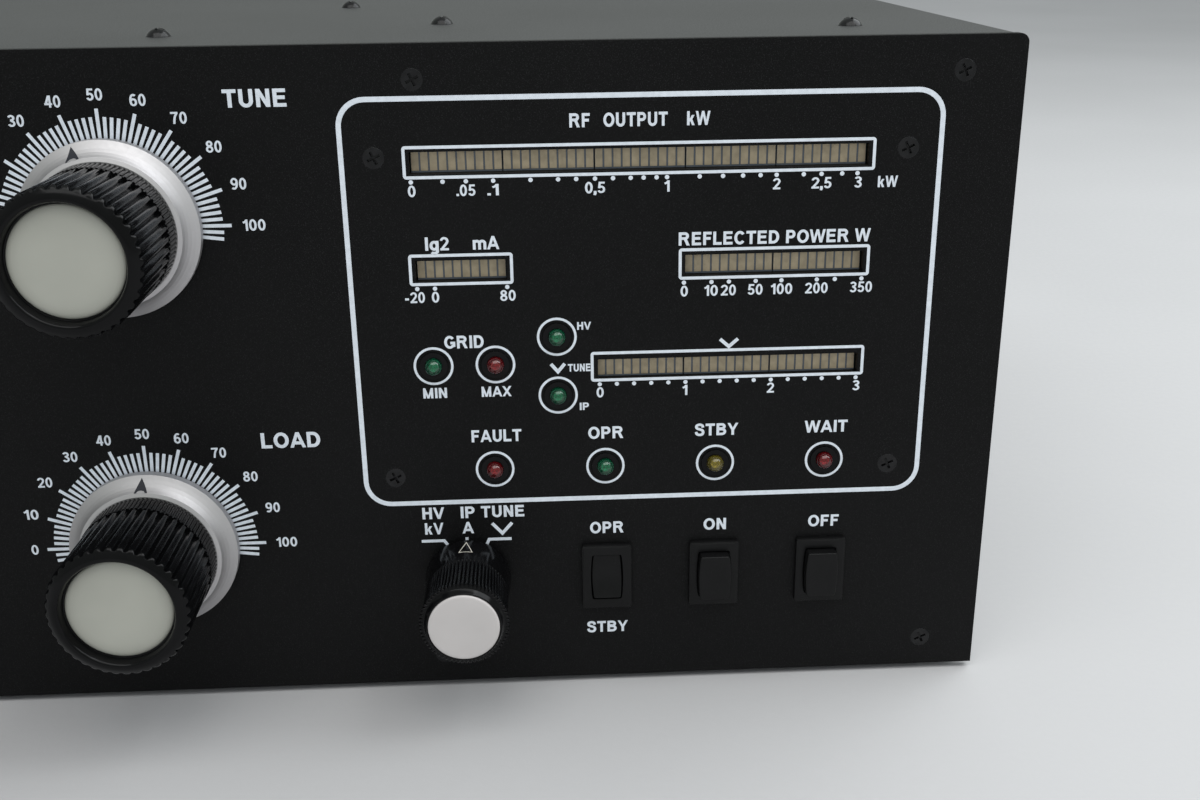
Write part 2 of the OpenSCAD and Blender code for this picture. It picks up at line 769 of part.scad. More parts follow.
module led_holders() color(gloss_black) for (p = all_leds) on_face(p[0], p[1]) difference() {
    union() {
        layer(-0.4, panel_t + 0.4) circle(led_holder_r);
        layer(panel_t, 1.5) circle(led_holder_r + 1);
        layer(panel_t, led_flange_d - panel_t) circle(led_holder_r - 0.4);
    }
    layer(-1, led_flange_d + 2) circle(led_r);
}

// Domed lamp with its flange and two leads to the board
module led() {
    translate([0, 0, led_reach]) sphere(led_r);
    layer(-led_reach, led_reach + led_flange_d) circle(led_r);
    layer(led_flange_d, led_flange_t) circle(led_r + 0.4);
    for (s = [-1, 1]) layer(led_flange_d, board_d - led_flange_d)
        translate([s * led_lead_pitch / 2, 0]) square(0.5, center = true);
}

module green_leds() color("#0f5c3c") for (p = green_at) on_face(p[0], p[1]) led();

module red_leds() color("#7a1016") for (p = red_at) on_face(p[0], p[1]) led();

module yellow_led() color("#a08a1c") for (p = yellow_at) on_face(p[0], p[1]) led();

// ---- Panel switches ----

switch_body_w = bezel_w - 2;
switch_body_h = bezel_h - 2;
rocker_opening_h = 2 * (rocker_r + button_gap / 3);
pivot_r = 1.2;
button_back_d = 8;
stem_r = 2;
stem_end_d = 19;
well_d = button_back_d + button_travel + 1;
tab_w = 4.8;
tab_t = 0.8;
tab_l = 8;
tab_pitch = 6;
rocker_face_h = 3.4;
rocker_dip = 1;
button_dip = 0.4;

// Body and frame of one switch, before its opening is cut
module switch_block() {
    layer(-bezel_t, bezel_t) rounded_rect(bezel_w, bezel_h, 0.6);
    layer(-eps, switch_body_d) square([switch_body_w, switch_body_h], center = true);
    for (i = [-1 : 1]) layer(switch_body_d - eps, tab_l) translate([0, i * tab_pitch])
        square([tab_w, tab_t], center = true);
}

module switch_housings() color(switch_black) {
    on_face(switch_xs[0], switch_z) difference() {
        switch_block();
        layer(-bezel_t - 1, bezel_t + 1 + rocker_r + 1)
            bowed_rect(rocker_w + 2 * button_gap, rocker_opening_h, side_bow);
        rotate([0, 90, 0]) cylinder(r = pivot_r + run_gap, h = rocker_w + 2.4, center = true);
    }
    for (i = [1, 2]) on_face(switch_xs[i], switch_z) difference() {
        switch_block();
        layer(-bezel_t - 1, bezel_t + 1 + well_d)
            bowed_rect(button_w + 2 * button_gap, button_h + 2 * button_gap, side_bow);
        layer(well_d - 1, stem_end_d + button_travel + 1 - well_d) circle(stem_r + run_gap);
    }
}

// Rocker with a hollow face, turned about its pivot so that its upper half is pressed in
module standby_rocker() color(switch_black) on_face(switch_xs[0], switch_z)
    rotate([-rocker_tilt, 0, 0]) {
        face_h = rocker_face_h;
        half = sqrt(rocker_r * rocker_r - face_h * face_h);
        dip_r = (half * half + rocker_dip * rocker_dip) / (2 * rocker_dip);
        intersection() {
            translate([-rocker_w / 2, 0, 0]) rotate([90, 0, 90]) linear_extrude(rocker_w)
                difference() {
                    intersection() {
                        circle(rocker_r);
                        translate([-rocker_r, -5]) square([2 * rocker_r, face_h + 5]);
                    }
                    translate([0, face_h - rocker_dip + dip_r]) circle(dip_r, $fn = 96);
                }
            translate([0, 0, -rocker_r]) linear_extrude(2 * rocker_r)
                bowed_rect(rocker_w, 2 * rocker_r, side_bow);
        }
        rotate([0, 90, 0]) cylinder(r = pivot_r, h = rocker_w + 2, center = true);
    }

// Push button with a slightly hollow face and a guide stem
module push_button() {
    dip_r = (button_h * button_h / 4 + button_dip * button_dip) / (2 * button_dip);
    front = bezel_t + button_reach;
    difference() {
        layer(-front, front + button_back_d) bowed_rect(button_w, button_h, side_bow);
        translate([0, 0, front - button_dip + dip_r]) rotate([0, 90, 0])
            cylinder(r = dip_r, h = button_w + 2, center = true, $fn = 96);
    }
    layer(button_back_d - eps, stem_end_d - button_back_d) circle(stem_r);
}

module on_button() color(switch_black) on_face(switch_xs[1], switch_z) push_button();

module off_button() color(switch_black) on_face(switch_xs[2], switch_z) push_button();

// ---- Selector knobs and their switches ----

selector_cap_seat = selector_front - cap_t + cap_proud;
shaft_end_h = selector_cap_seat - 2;
meter_switch_r = 13;
meter_switch_l = 16;
meter_pins = 12;
bush_nut_r = 7;
bush_nut_h = 1.6;

// Skirted knob with fine flutes, standing on the panel's face
module selector_knob() {
    waist_h = selector_back + 5;
    difference() {
        union() {
            rotate_extrude() polygon([[0, selector_back], [selector_skirt_r, selector_back],
                [selector_skirt_r - 0.3, selector_back + 2], [selector_waist_r - 0.8, waist_h],
                [0, waist_h]]);
            intersection() {
                translate([0, 0, waist_h - eps]) linear_extrude(selector_front - waist_h)
                    toothed(selector_r, 0.7, selector_flutes);
                rotate_extrude() polygon([[0, selector_back], [selector_waist_r, selector_back],
                    [selector_waist_r, selector_front - 7], [selector_r, selector_front - 2],
                    [selector_r - 0.6, selector_front], [0, selector_front]]);
            }
        }
        translate([0, 0, selector_cap_seat]) cylinder(r = selector_cap_r, h = cap_t + 1);
        rotate_extrude() polygon([[selector_cap_r, selector_front - 1],
            [selector_cap_r + 0.9, selector_front + eps], [selector_cap_r, selector_front + eps]]);
        cylinder(r = shaft_r, h = shaft_end_h);
        rotate_extrude() polygon([[shaft_r + 2, selector_back - 1],
            [selector_waist_r - 3, selector_back - 1], [selector_waist_r - 3, selector_front - 8],
            [shaft_r + 2, selector_front - 8]]);
    }
}

// Flat inlay with a softened edge
module cap_disc(r, seat) {
    translate([0, 0, seat]) rotate_extrude() polygon([[0, 0], [r, 0], [r, cap_t - 0.3],
        [r - 0.3, cap_t], [0, cap_t]]);
}

module meter_knob() color(gloss_black) on_face(meter_x, meter_z) selector_knob();

module meter_knob_cap() color("#beb9b6")
    on_face(meter_x, meter_z) cap_disc(selector_cap_r, selector_cap_seat);

module band_knob() color(gloss_black) on_face(-band_x, band_z) selector_knob();

module band_knob_cap() color("#beb9b6")
    on_face(-band_x, band_z) cap_disc(selector_cap_r, selector_cap_seat);

module meter_switch_shaft() color(bare_metal) on_face(meter_x, meter_z)
    layer(-shaft_end_h, shaft_end_h + panel_t + meter_switch_l - 4) circle(shaft_r);

module meter_switch() color("#2c3a5a") on_face(meter_x, meter_z) difference() {
    union() {
        layer(-bush_nut_h, panel_t + bush_nut_h + eps) circle(bush_r);
        layer(-bush_nut_h, bush_nut_h) circle(bush_nut_r, $fn = 6);
        layer(panel_t, meter_switch_l) circle(meter_switch_r);
        for (i = [0 : meter_pins - 1]) rotate(360 / meter_pins * i)
            translate([meter_switch_r - 3, 0])
                layer(panel_t + meter_switch_l - eps, 6) square([0.6, 2], center = true);
    }
    layer(-bush_nut_h - 1, panel_t + bush_nut_h + 1 + meter_switch_l - 3)
        circle(shaft_r + run_gap);
}

wafer_ds = [72, 96];
wafer_t = 2.5;
wafer_r = 24;
wafer_rotor_r = 9;
detent_t = 9;
detent_r = 14;
band_switch_end_d = wafer_ds[1] + wafer_t + 3;

module band_switch_shaft() color(bare_metal) on_face(-band_x, band_z) {
    layer(-shaft_end_h, shaft_end_h + wafer_ds[1] + 6) circle(shaft_r);
    for (d = wafer_ds) layer(d, wafer_t) difference() {
        circle(wafer_rotor_r);
        translate([0, wafer_rotor_r]) circle(2);
    }
}

module band_switch() color(ceramic_white) on_face(-band_x, band_z) {
    start_d = bulkhead_d + sheet_t;
    difference() {
        union() {
            layer(bulkhead_d - 2, sheet_t + 2 + eps) circle(bush_r);
            layer(bulkhead_d - 2, 2) circle(bush_nut_r, $fn = 6);
            layer(start_d, detent_t) circle(detent_r);
            layer(start_d + detent_t - 3, 3) square([2 * wafer_r, 12], center = true);
        }
        layer(bulkhead_d - 3, detent_t + sheet_t + 4) circle(shaft_r + run_gap);
    }
    for (d = wafer_ds) layer(d, wafer_t) difference() {
        circle(wafer_r);
        circle(wafer_rotor_r + 0.4);
    }
    for (d = wafer_ds, i = [0 : 11]) rotate(30 * i + 15) layer(d - 0.8, wafer_t + 1.6)
        translate([wafer_r - 1, 0]) square([5, 2.4], center = true);
    for (s = [-1, 1]) layer(start_d + detent_t - eps, band_switch_end_d - start_d - detent_t)
        translate([s * (wafer_r - 4.5), 0]) circle(1.5);
}

// ---- Tuning knobs, reduction drives and air capacitors ----

ring_front = skirt_lip_h + ring_h;
knob_back = ring_front + 0.3;
knob_cap_seat = knob_front - cap_t + cap_proud;
spindle_front = knob_cap_seat - 2;
drive_d = panel_t + 5;
drive_l = 14;
drive_wall = 6;
drive_stud_r = 2.5;
cage_r = sleeve_r + 2;
degrees_per_unit = 1.8;

// Aluminium dial skirt with a dished slope and a bright lip
module dial_skirt() {
    run = skirt_r - skirt_top_r;
    rise = skirt_lip_h - 0.5 - skirt_edge_h;
    dish = 0.5;
    difference() {
        rotate_extrude($fn = 96) polygon(concat(
            [[sleeve_r, skirt_gap], [skirt_r, skirt_gap]],
            [for (i = [0 : 5]) let (t = i / 5)
                [skirt_r - run * t - dish * sin(180 * t), skirt_edge_h + rise * t]],
            [[ring_r + 0.2, skirt_lip_h], [sleeve_r, skirt_lip_h]]));
        translate([0, 0, skirt_gap - 1]) cylinder(r = skirt_top_r - 2, h = 2.5);
    }
}

module locking_ring() {
    difference() {
        translate([0, 0, skirt_lip_h]) linear_extrude(ring_h) difference() {
            toothed(ring_r, 0.35, ring_knurls);
            circle(sleeve_r);
        }
        rotate_extrude() polygon([[sleeve_r + 3, skirt_lip_h - 1], [ring_r - 3, skirt_lip_h - 1],
            [ring_r - 3, ring_front - 1.5], [sleeve_r + 3, ring_front - 1.5]]);
    }
}

// Fluted knob, hollow behind, with a groove round the seat of its cap
module fluted_knob() {
    groove_r = knob_cap_r + 0.5;
    difference() {
        intersection() {
            translate([0, 0, knob_back]) linear_extrude(knob_front - knob_back)
                toothed(knob_r, flute_depth, knob_flutes);
            rotate_extrude() polygon([[0, knob_back], [knob_r, knob_back],
                [knob_r, knob_front - 1.6], [knob_r - flute_depth, knob_front - 0.6],
                [knob_r - flute_depth - 0.6, knob_front], [0, knob_front]]);
        }
        translate([0, 0, knob_cap_seat]) cylinder(r = knob_cap_r, h = cap_t + 1);
        rotate_extrude() polygon([[groove_r, knob_front + eps], [groove_r, knob_front - 1.2],
            [groove_r + 1, knob_front - 0.9], [groove_r + 1.4, knob_front + eps]]);
        translate([0, 0, knob_back - 1]) cylinder(r = shaft_r, h = spindle_front - knob_back + 1);
        rotate_extrude() polygon([[shaft_r + 5, knob_back - 1], [knob_r - 4, knob_back - 1],
            [knob_r - 4, knob_cap_seat - 3], [shaft_r + 5, knob_cap_seat - 3]]);
    }
}

// Fast spindle that the knob turns inside the slow sleeve
module spindle() layer(-spindle_front, spindle_front + drive_d + drive_l - 3) circle(shaft_r);

// Angle of a dial's pointer from twelve o'clock, clockwise
function dial_angle(reading) = (reading - 50) * degrees_per_unit;

// Number of rotor plates that fit between the end plates at one air gap
function rotor_plates(air) = floor((capacitor_l - 10) / (2 * (plate_t + air)));

// Depth of rotor plate i, with the stack centred between the end plates
function rotor_plate_d(i, air) = capacitor_d + end_plate_t + capacitor_l / 2 - plate_t / 2
    + (i - (rotor_plates(air) - 1) / 2) * 2 * (plate_t + air);

// Half disc on the right of the y axis
module half_disc(r) {
    intersection() {
        circle(r);
        translate([0, -r]) square([r, 2 * r]);
    }
}

// Slow piece of one drive: sleeve, ball cage, shaft and rotor plates
module rotor(reading, air) {
    shaft_end_d = capacitor_d + 2 * end_plate_t + capacitor_l + 4;
    difference() {
        union() {
            layer(-ring_front, ring_front + drive_d) circle(sleeve_r);
            layer(drive_d - eps, drive_l) circle(cage_r);
            layer(drive_d, shaft_end_d - drive_d) circle(shaft_r);
        }
        layer(-ring_front - 1, ring_front + 1 + drive_d + drive_l - 2.5)
            circle(shaft_r + run_gap);
    }
    rotate(-reading * degrees_per_unit) for (i = [0 : rotor_plates(air) - 1])
        layer(rotor_plate_d(i, air), plate_t) {
            half_disc(rotor_r);
            circle(rotor_hub_r);
        }
}

rotor_hub_r = 7;
rod_r = 2;
rod_at = rotor_r * 0.7 + 4;
rod_start_d = capacitor_d + end_plate_t + 4;
rod_l = capacitor_l - 8;
ceramic_r = 4.5;
post_r = 6;
bush_l = 5;

// Fixed plates of one capacitor, carried by two rods
module stator(air) {
    for (i = [0 : rotor_plates(air)])
        layer(rotor_plate_d(i, air) - plate_t - air, plate_t) difference() {
            union() {
                half_disc(rotor_r + 1);
                for (s = [-1, 1]) translate([rod_at, s * rod_at]) circle(ceramic_r + 0.5);
            }
            circle(rotor_hub_r + 3);
        }
    for (s = [-1, 1]) layer(rod_start_d, rod_l) translate([rod_at, s * rod_at]) circle(rod_r);
}

module capacitor_stators() color(satin_aluminium) {
    on_face(-tuning_x, tune_z) stator(tune_air);
    on_face(-tuning_x, load_z) stator(load_air);
}

// Two tall plates that carry both capacitors, tied together at the corners
module capacitor_end_plates() color(bare_metal) {
    tie_at = end_plate_half - 5;
    back_d = capacitor_d + end_plate_t + capacitor_l;
    difference() {
        in_case() for (d = [capacitor_d, back_d])
            box([-tuning_x - end_plate_half, d, floor_z],
                [-tuning_x + end_plate_half, d + end_plate_t, tune_z + end_plate_half]);
        for (z = [tune_z, load_z]) on_face(-tuning_x, z)
            layer(capacitor_d - 1, capacitor_l + 3 * end_plate_t) circle(shaft_r + run_gap);
    }
    for (z = [tune_z, load_z]) on_face(-tuning_x, z) for (sx = [-1, 1], sy = [-1, 1])
        layer(bulkhead_d + sheet_t, back_d - bulkhead_d - sheet_t + eps)
            translate([sx * tie_at, sy * tie_at]) circle(rod_r);
}

// Fixed body of each reduction drive, on two studs behind the panel
module drive_housings() color("#8e8a80") for (z = [tune_z, load_z]) on_face(-tuning_x, z) {
    layer(drive_d, drive_l) ring(cage_r + drive_wall, cage_r + run_gap);
    for (s = [-1, 1]) layer(panel_t, drive_d - panel_t + eps)
        translate([s * (cage_r + drive_wall / 2), 0]) circle(drive_stud_r);
}

// Insulating bushes at the ends of the stator rods, and the posts under the tank coil
module ceramic_posts() color(ceramic_white) {
    front_d = capacitor_d + end_plate_t;
    for (z = [tune_z, load_z], s = [-1, 1], front = [true, false])
        on_face(-tuning_x + rod_at, z + s * rod_at) difference() {
            layer(front ? front_d : front_d + capacitor_l - bush_l, bush_l) circle(ceramic_r);
            layer(rod_start_d, rod_l) circle(rod_r);
        }
    for (k = [1, coil_turns - 1]) in_case() translate([-tube_x, coil_d + k * coil_pitch, floor_z])
        cylinder(r = post_r, h = coil_z - coil_r - wire_r - floor_z);
}

module tune_skirt() color(satin_aluminium) on_face(-tuning_x, tune_z) dial_skirt();

module tune_ring() color(gloss_black) on_face(-tuning_x, tune_z) locking_ring();

module tune_knob() color(gloss_black) on_face(-tuning_x, tune_z) fluted_knob();

module tune_knob_cap() color(cap_grey)
    on_face(-tuning_x, tune_z) cap_disc(knob_cap_r, knob_cap_seat);

module tune_spindle() color(bare_metal) on_face(-tuning_x, tune_z) spindle();

module tune_rotor() color(bare_metal)
    on_face(-tuning_x, tune_z) rotor(tune_reading, tune_air);

module load_skirt() color(satin_aluminium) on_face(-tuning_x, load_z) dial_skirt();

module load_ring() color(gloss_black) on_face(-tuning_x, load_z) locking_ring();

module load_knob() color(gloss_black) on_face(-tuning_x, load_z) fluted_knob();

module load_knob_cap() color(cap_grey)
    on_face(-tuning_x, load_z) cap_disc(knob_cap_r, knob_cap_seat);

module load_spindle() color(bare_metal) on_face(-tuning_x, load_z) spindle();

module load_rotor() color(bare_metal)
    on_face(-tuning_x, load_z) rotor(load_reading, load_air);

// ---- Tube, air system and tank coil ----

deck_z = floor_z + air_box_h;
air_box_right = -tube_x + air_box_w / 2;
air_box_left = -tube_x - air_box_w / 2;
air_box_back = tray_back_d - 1;
socket_hole_r = 27;
chimney_r = cooler_r + 3;
chimney_wall = 1.5;

// Stands the children on the tube's axis, at height z above the deck
module on_tube(z) {
    in_case() translate([-tube_x, tube_d, deck_z + z]) children();
}

module power_tube() color("#a9abad") {
    cooler_z = 30;
    band_t = 1;
    core_r = 20;
    on_tube(0) rotate_extrude() polygon([[0, -20], [8, -20], [8, -12], [15, -12], [15, -5],
        [19, -5], [19, 3], [31, 3], [31, 6], [24, 6], [24, 26], [34, 26],
        [34, cooler_z], [0, cooler_z]]);
    on_tube(cooler_z - eps) linear_extrude(cooler_h) {
        circle(core_r);
        ring(cooler_r, cooler_r - band_t);
        for (i = [0 : cooler_fins - 1]) rotate(360 / cooler_fins * i)
            translate([core_r - 1, -fin_t / 2]) square([cooler_r - band_t / 2 - core_r + 1, fin_t]);
    }
    on_tube(cooler_z + cooler_h - eps) cylinder(r = core_r - 4, h = 4);
}

// Air box on the chassis floor with the tube's socket ring on its deck
module tube_socket() color(bare_metal) {
    difference() {
        in_case() box([air_box_left, tube_d - air_box_w / 2, floor_z],
            [air_box_right, air_box_back, deck_z]);
        in_case() box([air_box_left + sheet_t, tube_d - air_box_w / 2 + sheet_t, floor_z - 1],
            [air_box_right - sheet_t, air_box_back - sheet_t, deck_z - sheet_t]);
        on_tube(-sheet_t - 1) cylinder(r = socket_hole_r, h = sheet_t + 2);
        on_blower() layer(casing_d + blower_wall, blower_d - 2 * blower_wall)
            translate([duct_end_x - 5, -scroll_end_r])
                square([10, scroll_end_r - duct_top_r]);
    }
    difference() {
        on_tube(-eps) linear_extrude(3) ring(34, socket_hole_r);
        for (i = [0 : 7]) on_tube(1) rotate(45 * i) translate([socket_hole_r - 2, -2.5, 0])
            cube([10, 5, 4]);
    }
}

module tube_chimney() color("#d9d6c8") on_tube(0)
    linear_extrude(ceiling_z - deck_z - 3) ring(chimney_r, chimney_r - chimney_wall);

scroll_start_r = wheel_r + 4;
scroll_end_r = wheel_r + 20;
scroll_start_a = 215;
blower_x = air_box_right + blower_from_box;
duct_top_r = blower_z - deck_z + sheet_t + blower_wall;
duct_end_x = -blower_from_box;
casing_d = air_box_back - blower_d;
axle_r = 3;
stator_r = 17;
cup_r = 22;
wheel_d = casing_d + blower_wall + 2.5;

// Stands the children on the blower's axis, as seen from the front
module on_blower() {
    on_face(blower_x, blower_z) children();
}

// Outline of the blower's spiral casing and its outlet, drawn in by inset
module scroll(inset) {
    steps = 24;
    sweep = scroll_start_a + 90;
    polygon(concat(
        [for (i = [0 : steps]) let (a = scroll_start_a - sweep * i / steps,
            r = scroll_start_r + (scroll_end_r - scroll_start_r) * i / steps - inset)
            r * [cos(a), sin(a)]],
        [[duct_end_x - inset, inset - scroll_end_r], [duct_end_x - inset, -duct_top_r - inset]]));
}

module blower_housing() color("#3a3c3e") on_blower() {
    difference() {
        layer(casing_d, blower_d) scroll(0);
        layer(casing_d + blower_wall, blower_d - 2 * blower_wall) scroll(blower_wall);
        layer(casing_d + blower_d - blower_wall - 1, blower_wall + 2) circle(wheel_r * 0.85);
    }
    layer(casing_d + blower_wall - eps, 14) circle(stator_r);
    layer(casing_d + blower_wall, wheel_w - 4) circle(axle_r);
}

// Squirrel-cage wheel on the motor's outer rotor
module blower_wheel() color("#6d7073") on_blower() {
    blade_in = wheel_r - 8;
    difference() {
        union() {
            layer(wheel_d, 26) circle(cup_r);
            layer(wheel_d + 6, 1.5) circle(wheel_r);
        }
        layer(wheel_d - 1, 24) circle(stator_r + 2);
        layer(wheel_d - 1, 30) circle(axle_r + run_gap);
    }
    layer(wheel_d + wheel_w - 2, 2) ring(wheel_r, wheel_r - 4);
    layer(wheel_d + 7, wheel_w - 8) for (i = [0 : wheel_blades - 1])
        rotate(360 / wheel_blades * i) intersection() {
            translate([blade_in + 4, 6]) ring(7.4, 6.6);
            translate([blade_in, -4]) square([7.7, 8]);
        }
}

coil_z = 92;
coil_r = 32;
coil_pitch = 13;
coil_turns = 8;
wire_r = 2.5;
// The coil hangs midway between the band switch and the chimney
coil_d = (band_switch_end_d + tube_d - chimney_r - coil_turns * coil_pitch) / 2;
coil_steps = 20;
coil_sides = 6;

// Point j of ring k round the coil's wire
function coil_point(k, j) = let (
        a = 360 * k / coil_steps - 90,
        rise = coil_pitch / (2 * PI * coil_r),
        out = [cos(a), 0, sin(a)],
        along = [-sin(a), rise, cos(a)] / norm([1, rise]),
        side = cross(along, out),
        f = 360 * j / coil_sides)
    [0, coil_pitch * k / coil_steps, 0] + coil_r * out + wire_r * (cos(f) * out + sin(f) * side);

// Tank coil, one helix of round tube along the depth of the case
module tank_coil() color(copper) {
    rings = coil_turns * coil_steps;
    n = coil_sides;
    in_case() translate([-tube_x, coil_d, coil_z]) polyhedron(
        points = [for (k = [0 : rings], j = [0 : n - 1]) coil_point(k, j)],
        faces = concat(
            [[for (j = [0 : n - 1]) j]],
            [for (k = [0 : rings - 1], j = [0 : n - 1])
                [k * n + j, (k + 1) * n + j, (k + 1) * n + (j + 1) % n, k * n + (j + 1) % n]],
            [[for (j = [n - 1 : -1 : 0]) rings * n + j]]));
}

// ---- Power supply ----

// One ring core with rounded shoulders, standing at z = 0
module ring_core() {
    shoulder = transformer_h / 5;
    width = transformer_r - transformer_hole_r;
    rotate_extrude($fn = 64) translate([transformer_hole_r + width / 2, transformer_h / 2])
        rounded_rect(width, transformer_h, shoulder);
}

// Two ring transformers on one bolt, with rubber pads and a dished washer
module transformers() color("#8c5a2e") {
    pitch = transformer_h + pad_t;
    stack = pad_t + 2 * pitch;
    in_case() translate([transformer_x, transformer_d, floor_z]) {
        for (i = [0, 1]) translate([0, 0, pad_t + i * pitch]) ring_core();
        for (i = [0 : 2]) translate([0, 0, i * pitch]) linear_extrude(pad_t)
            ring(transformer_r - 8, transformer_hole_r - 2);
        translate([0, 0, stack]) rotate_extrude() polygon([[5, 0], [5, -2],
            [transformer_hole_r - 4, -2], [transformer_hole_r + 4, 0],
            [transformer_r - 30, 0], [transformer_r - 30, 2], [transformer_hole_r + 3, 2],
            [transformer_hole_r - 5, 0]]);
        cylinder(r = 5, h = stack + 12);
        translate([0, 0, stack]) cylinder(r = 9, h = 7, $fn = 6);
    }
}

stack_w = 8;
stack_l = 28;
stack_h = 12;
stack_pitch = 17;
stack_count = 6;

// Board with a row of rectifier stacks along its back
module rectifier_board() color(board_green) in_case() difference() {
    union() {
        translate([rectifier_x - rectifier_w / 2, rectifier_d - rectifier_l / 2,
            floor_z + spacer_h]) cube([rectifier_w, rectifier_l, board_t]);
        for (i = [0 : stack_count - 1])
            translate([rectifier_x + (i - (stack_count - 1) / 2) * stack_pitch - stack_w / 2,
                rectifier_d + rectifier_l / 2 - stack_l - rectifier_margin, floor_z + spacer_h])
                cube([stack_w, stack_l, stack_h]);
    }
    for (p = rectifier_corners) translate([p[0], p[1], floor_z])
        cylinder(r = screw_r, h = spacer_h + board_t + 1);
}

smoothing_pitch = 2.3 * smoothing_r;
smoothing_d = rectifier_d + smoothing_r + 2 - rectifier_l / 2;

// Eight smoothing capacitors in three rows
module hv_capacitors() color("#2a3f7a") in_case() for (i = [0 : 2], j = [0 : 2])
    if (i + j < 4) translate([rectifier_x + (i - 1) * smoothing_pitch,
        smoothing_d + j * smoothing_pitch, floor_z + spacer_h + board_t])
        rotate_extrude() polygon([[0, 0], [smoothing_r, 0], [smoothing_r, smoothing_h - 1.5],
            [smoothing_r - 1.5, smoothing_h], [0, smoothing_h]]);

relay_w = 28;
relay_l = 21;
relay_h = 36;
relay_base_h = 5;
relay_margin = 2;
relay_back = 13;

// Relays for the output, the input and the soft start
module relays() color("#3b3b3d") {
    relay_d = air_box_back - relay_l - relay_back;
    for (p = [[air_box_left + relay_margin, relay_d, deck_z],
            [air_box_right - relay_margin - relay_w, relay_d, deck_z],
            [divider_back_x + relay_back, divider_step_d + relay_w, floor_z]])
        in_case() translate(p) {
            cube([relay_w, relay_l, relay_base_h]);
            translate([1, 1, relay_base_h - 1])
                cube([relay_w - 2, relay_l - 2, relay_h - relay_base_h + 1]);
        }
}

// ---- Rear panel fittings ----

rf_socket_xs = [for (i = [0, 1]) i * socket_pitch + socket_from_side - panel_w / 2];
contact_r = 3;
insulator_r = 5.4;
ground_x = 30;
ground_z = 30;
inlet_x = panel_w / 2 - inlet_from_side;
inlet_body_w = inlet_w - 17;
inlet_body_h = inlet_h - 5;
inlet_wall = 2;
fuse_xs = [for (s = [-1, 1]) inlet_x + s * fuse_pitch / 2];
fuse_z = panel_h - fuse_from_top;
fuse_body_l = 32;
fuse_flange_t = 2.5;
fuse_cap_l = 11;
jack_xs = [for (i = [0 : 3]) socket_from_side + 5 - panel_w / 2 + i * jack_pitch];
jack_z = panel_h - jack_from_top;
jack_thread_r = 4;
intake_pitch = 8;
intake_hole_r = 2.5;

module rf_sockets() color("#c4c6c8") for (x = rf_socket_xs) on_rear(x, socket_z) {
    difference() {
        union() {
            linear_extrude(1.6) rounded_rect(socket_flange, socket_flange, 1);
            translate([0, 0, -rear_t - 8]) cylinder(r = socket_r, h = socket_reach + rear_t + 8);
        }
        translate([0, 0, 3]) cylinder(r = insulator_r, h = socket_reach);
        for (sx = [-1, 1], sy = [-1, 1]) translate([sx, sy, 0] * (socket_flange / 2 - 3.6) - [0, 0, 1])
            cylinder(r = screw_r, h = 4);
    }
    difference() {
        cylinder(r = contact_r, h = socket_reach - 4);
        translate([0, 0, 4]) cylinder(r = contact_r - 1, h = socket_reach);
    }
    translate([0, 0, -rear_t - 12]) cylinder(r = contact_r * 0.6, h = 6);
}

// Threaded stud with a hexagon nut and a wing nut
module ground_post() color("#c9ac5c") on_rear(ground_x, ground_z) {
    translate([0, 0, -rear_t - 10]) cylinder(r = stud_r, h = rear_t + 25);
    for (z = [-rear_t - 5, 0]) translate([0, 0, z]) cylinder(r = stud_r * 1.85, h = 5, $fn = 6);
    translate([0, 0, 6]) cylinder(r = stud_r + 2.5, h = 5);
    for (s = [-1, 1]) translate([s * 9.5, 0, 9]) rotate([90, 0, 0])
        cylinder(r = 5, h = 3, center = true);
}

module mains_inlet() color(switch_black) on_rear(inlet_x, inlet_z) {
    difference() {
        union() {
            linear_extrude(3) rounded_rect(inlet_w, inlet_h, 3);
            layer(-eps, rear_t + 20) square([inlet_body_w, inlet_body_h], center = true);
        }
        layer(-4, 18) rounded_rect(inlet_body_w - 2 * inlet_wall,
            inlet_body_h - 2 * inlet_wall, 2.5);
        for (s = [-1, 1]) translate([s * (inlet_w / 2 - 4.5), 0, -1]) cylinder(r = screw_r, h = 5);
    }
    for (p = [[-8, -3], [0, 4], [8, -3]]) layer(4, 12) translate(p) square([2, 6], center = true);
}

module fuse_holders() color(switch_black) for (x = fuse_xs) on_rear(x, fuse_z) {
    cylinder(r = fuse_body_r + 2.5, h = fuse_flange_t);
    translate([0, 0, -rear_t - fuse_body_l])
        cylinder(r = fuse_body_r, h = rear_t + fuse_body_l + 1);
    difference() {
        linear_extrude(fuse_cap_l) toothed(fuse_body_r + 0.5, 0.5, 24);
        translate([0, 0, fuse_cap_l]) cube([3 * fuse_body_r, 1.5, 3], center = true);
    }
}

module control_sockets() color("#c4c6c8") for (x = jack_xs) on_rear(x, jack_z) difference() {
    union() {
        cylinder(r = 6.5, h = 2, $fn = 6);
        cylinder(r = jack_thread_r + 0.15, h = 9.5);
        translate([0, 0, -rear_t - 8]) cylinder(r = jack_thread_r, h = rear_t + 9);
    }
    translate([0, 0, -2]) cylinder(r = 1.6, h = 14);
}

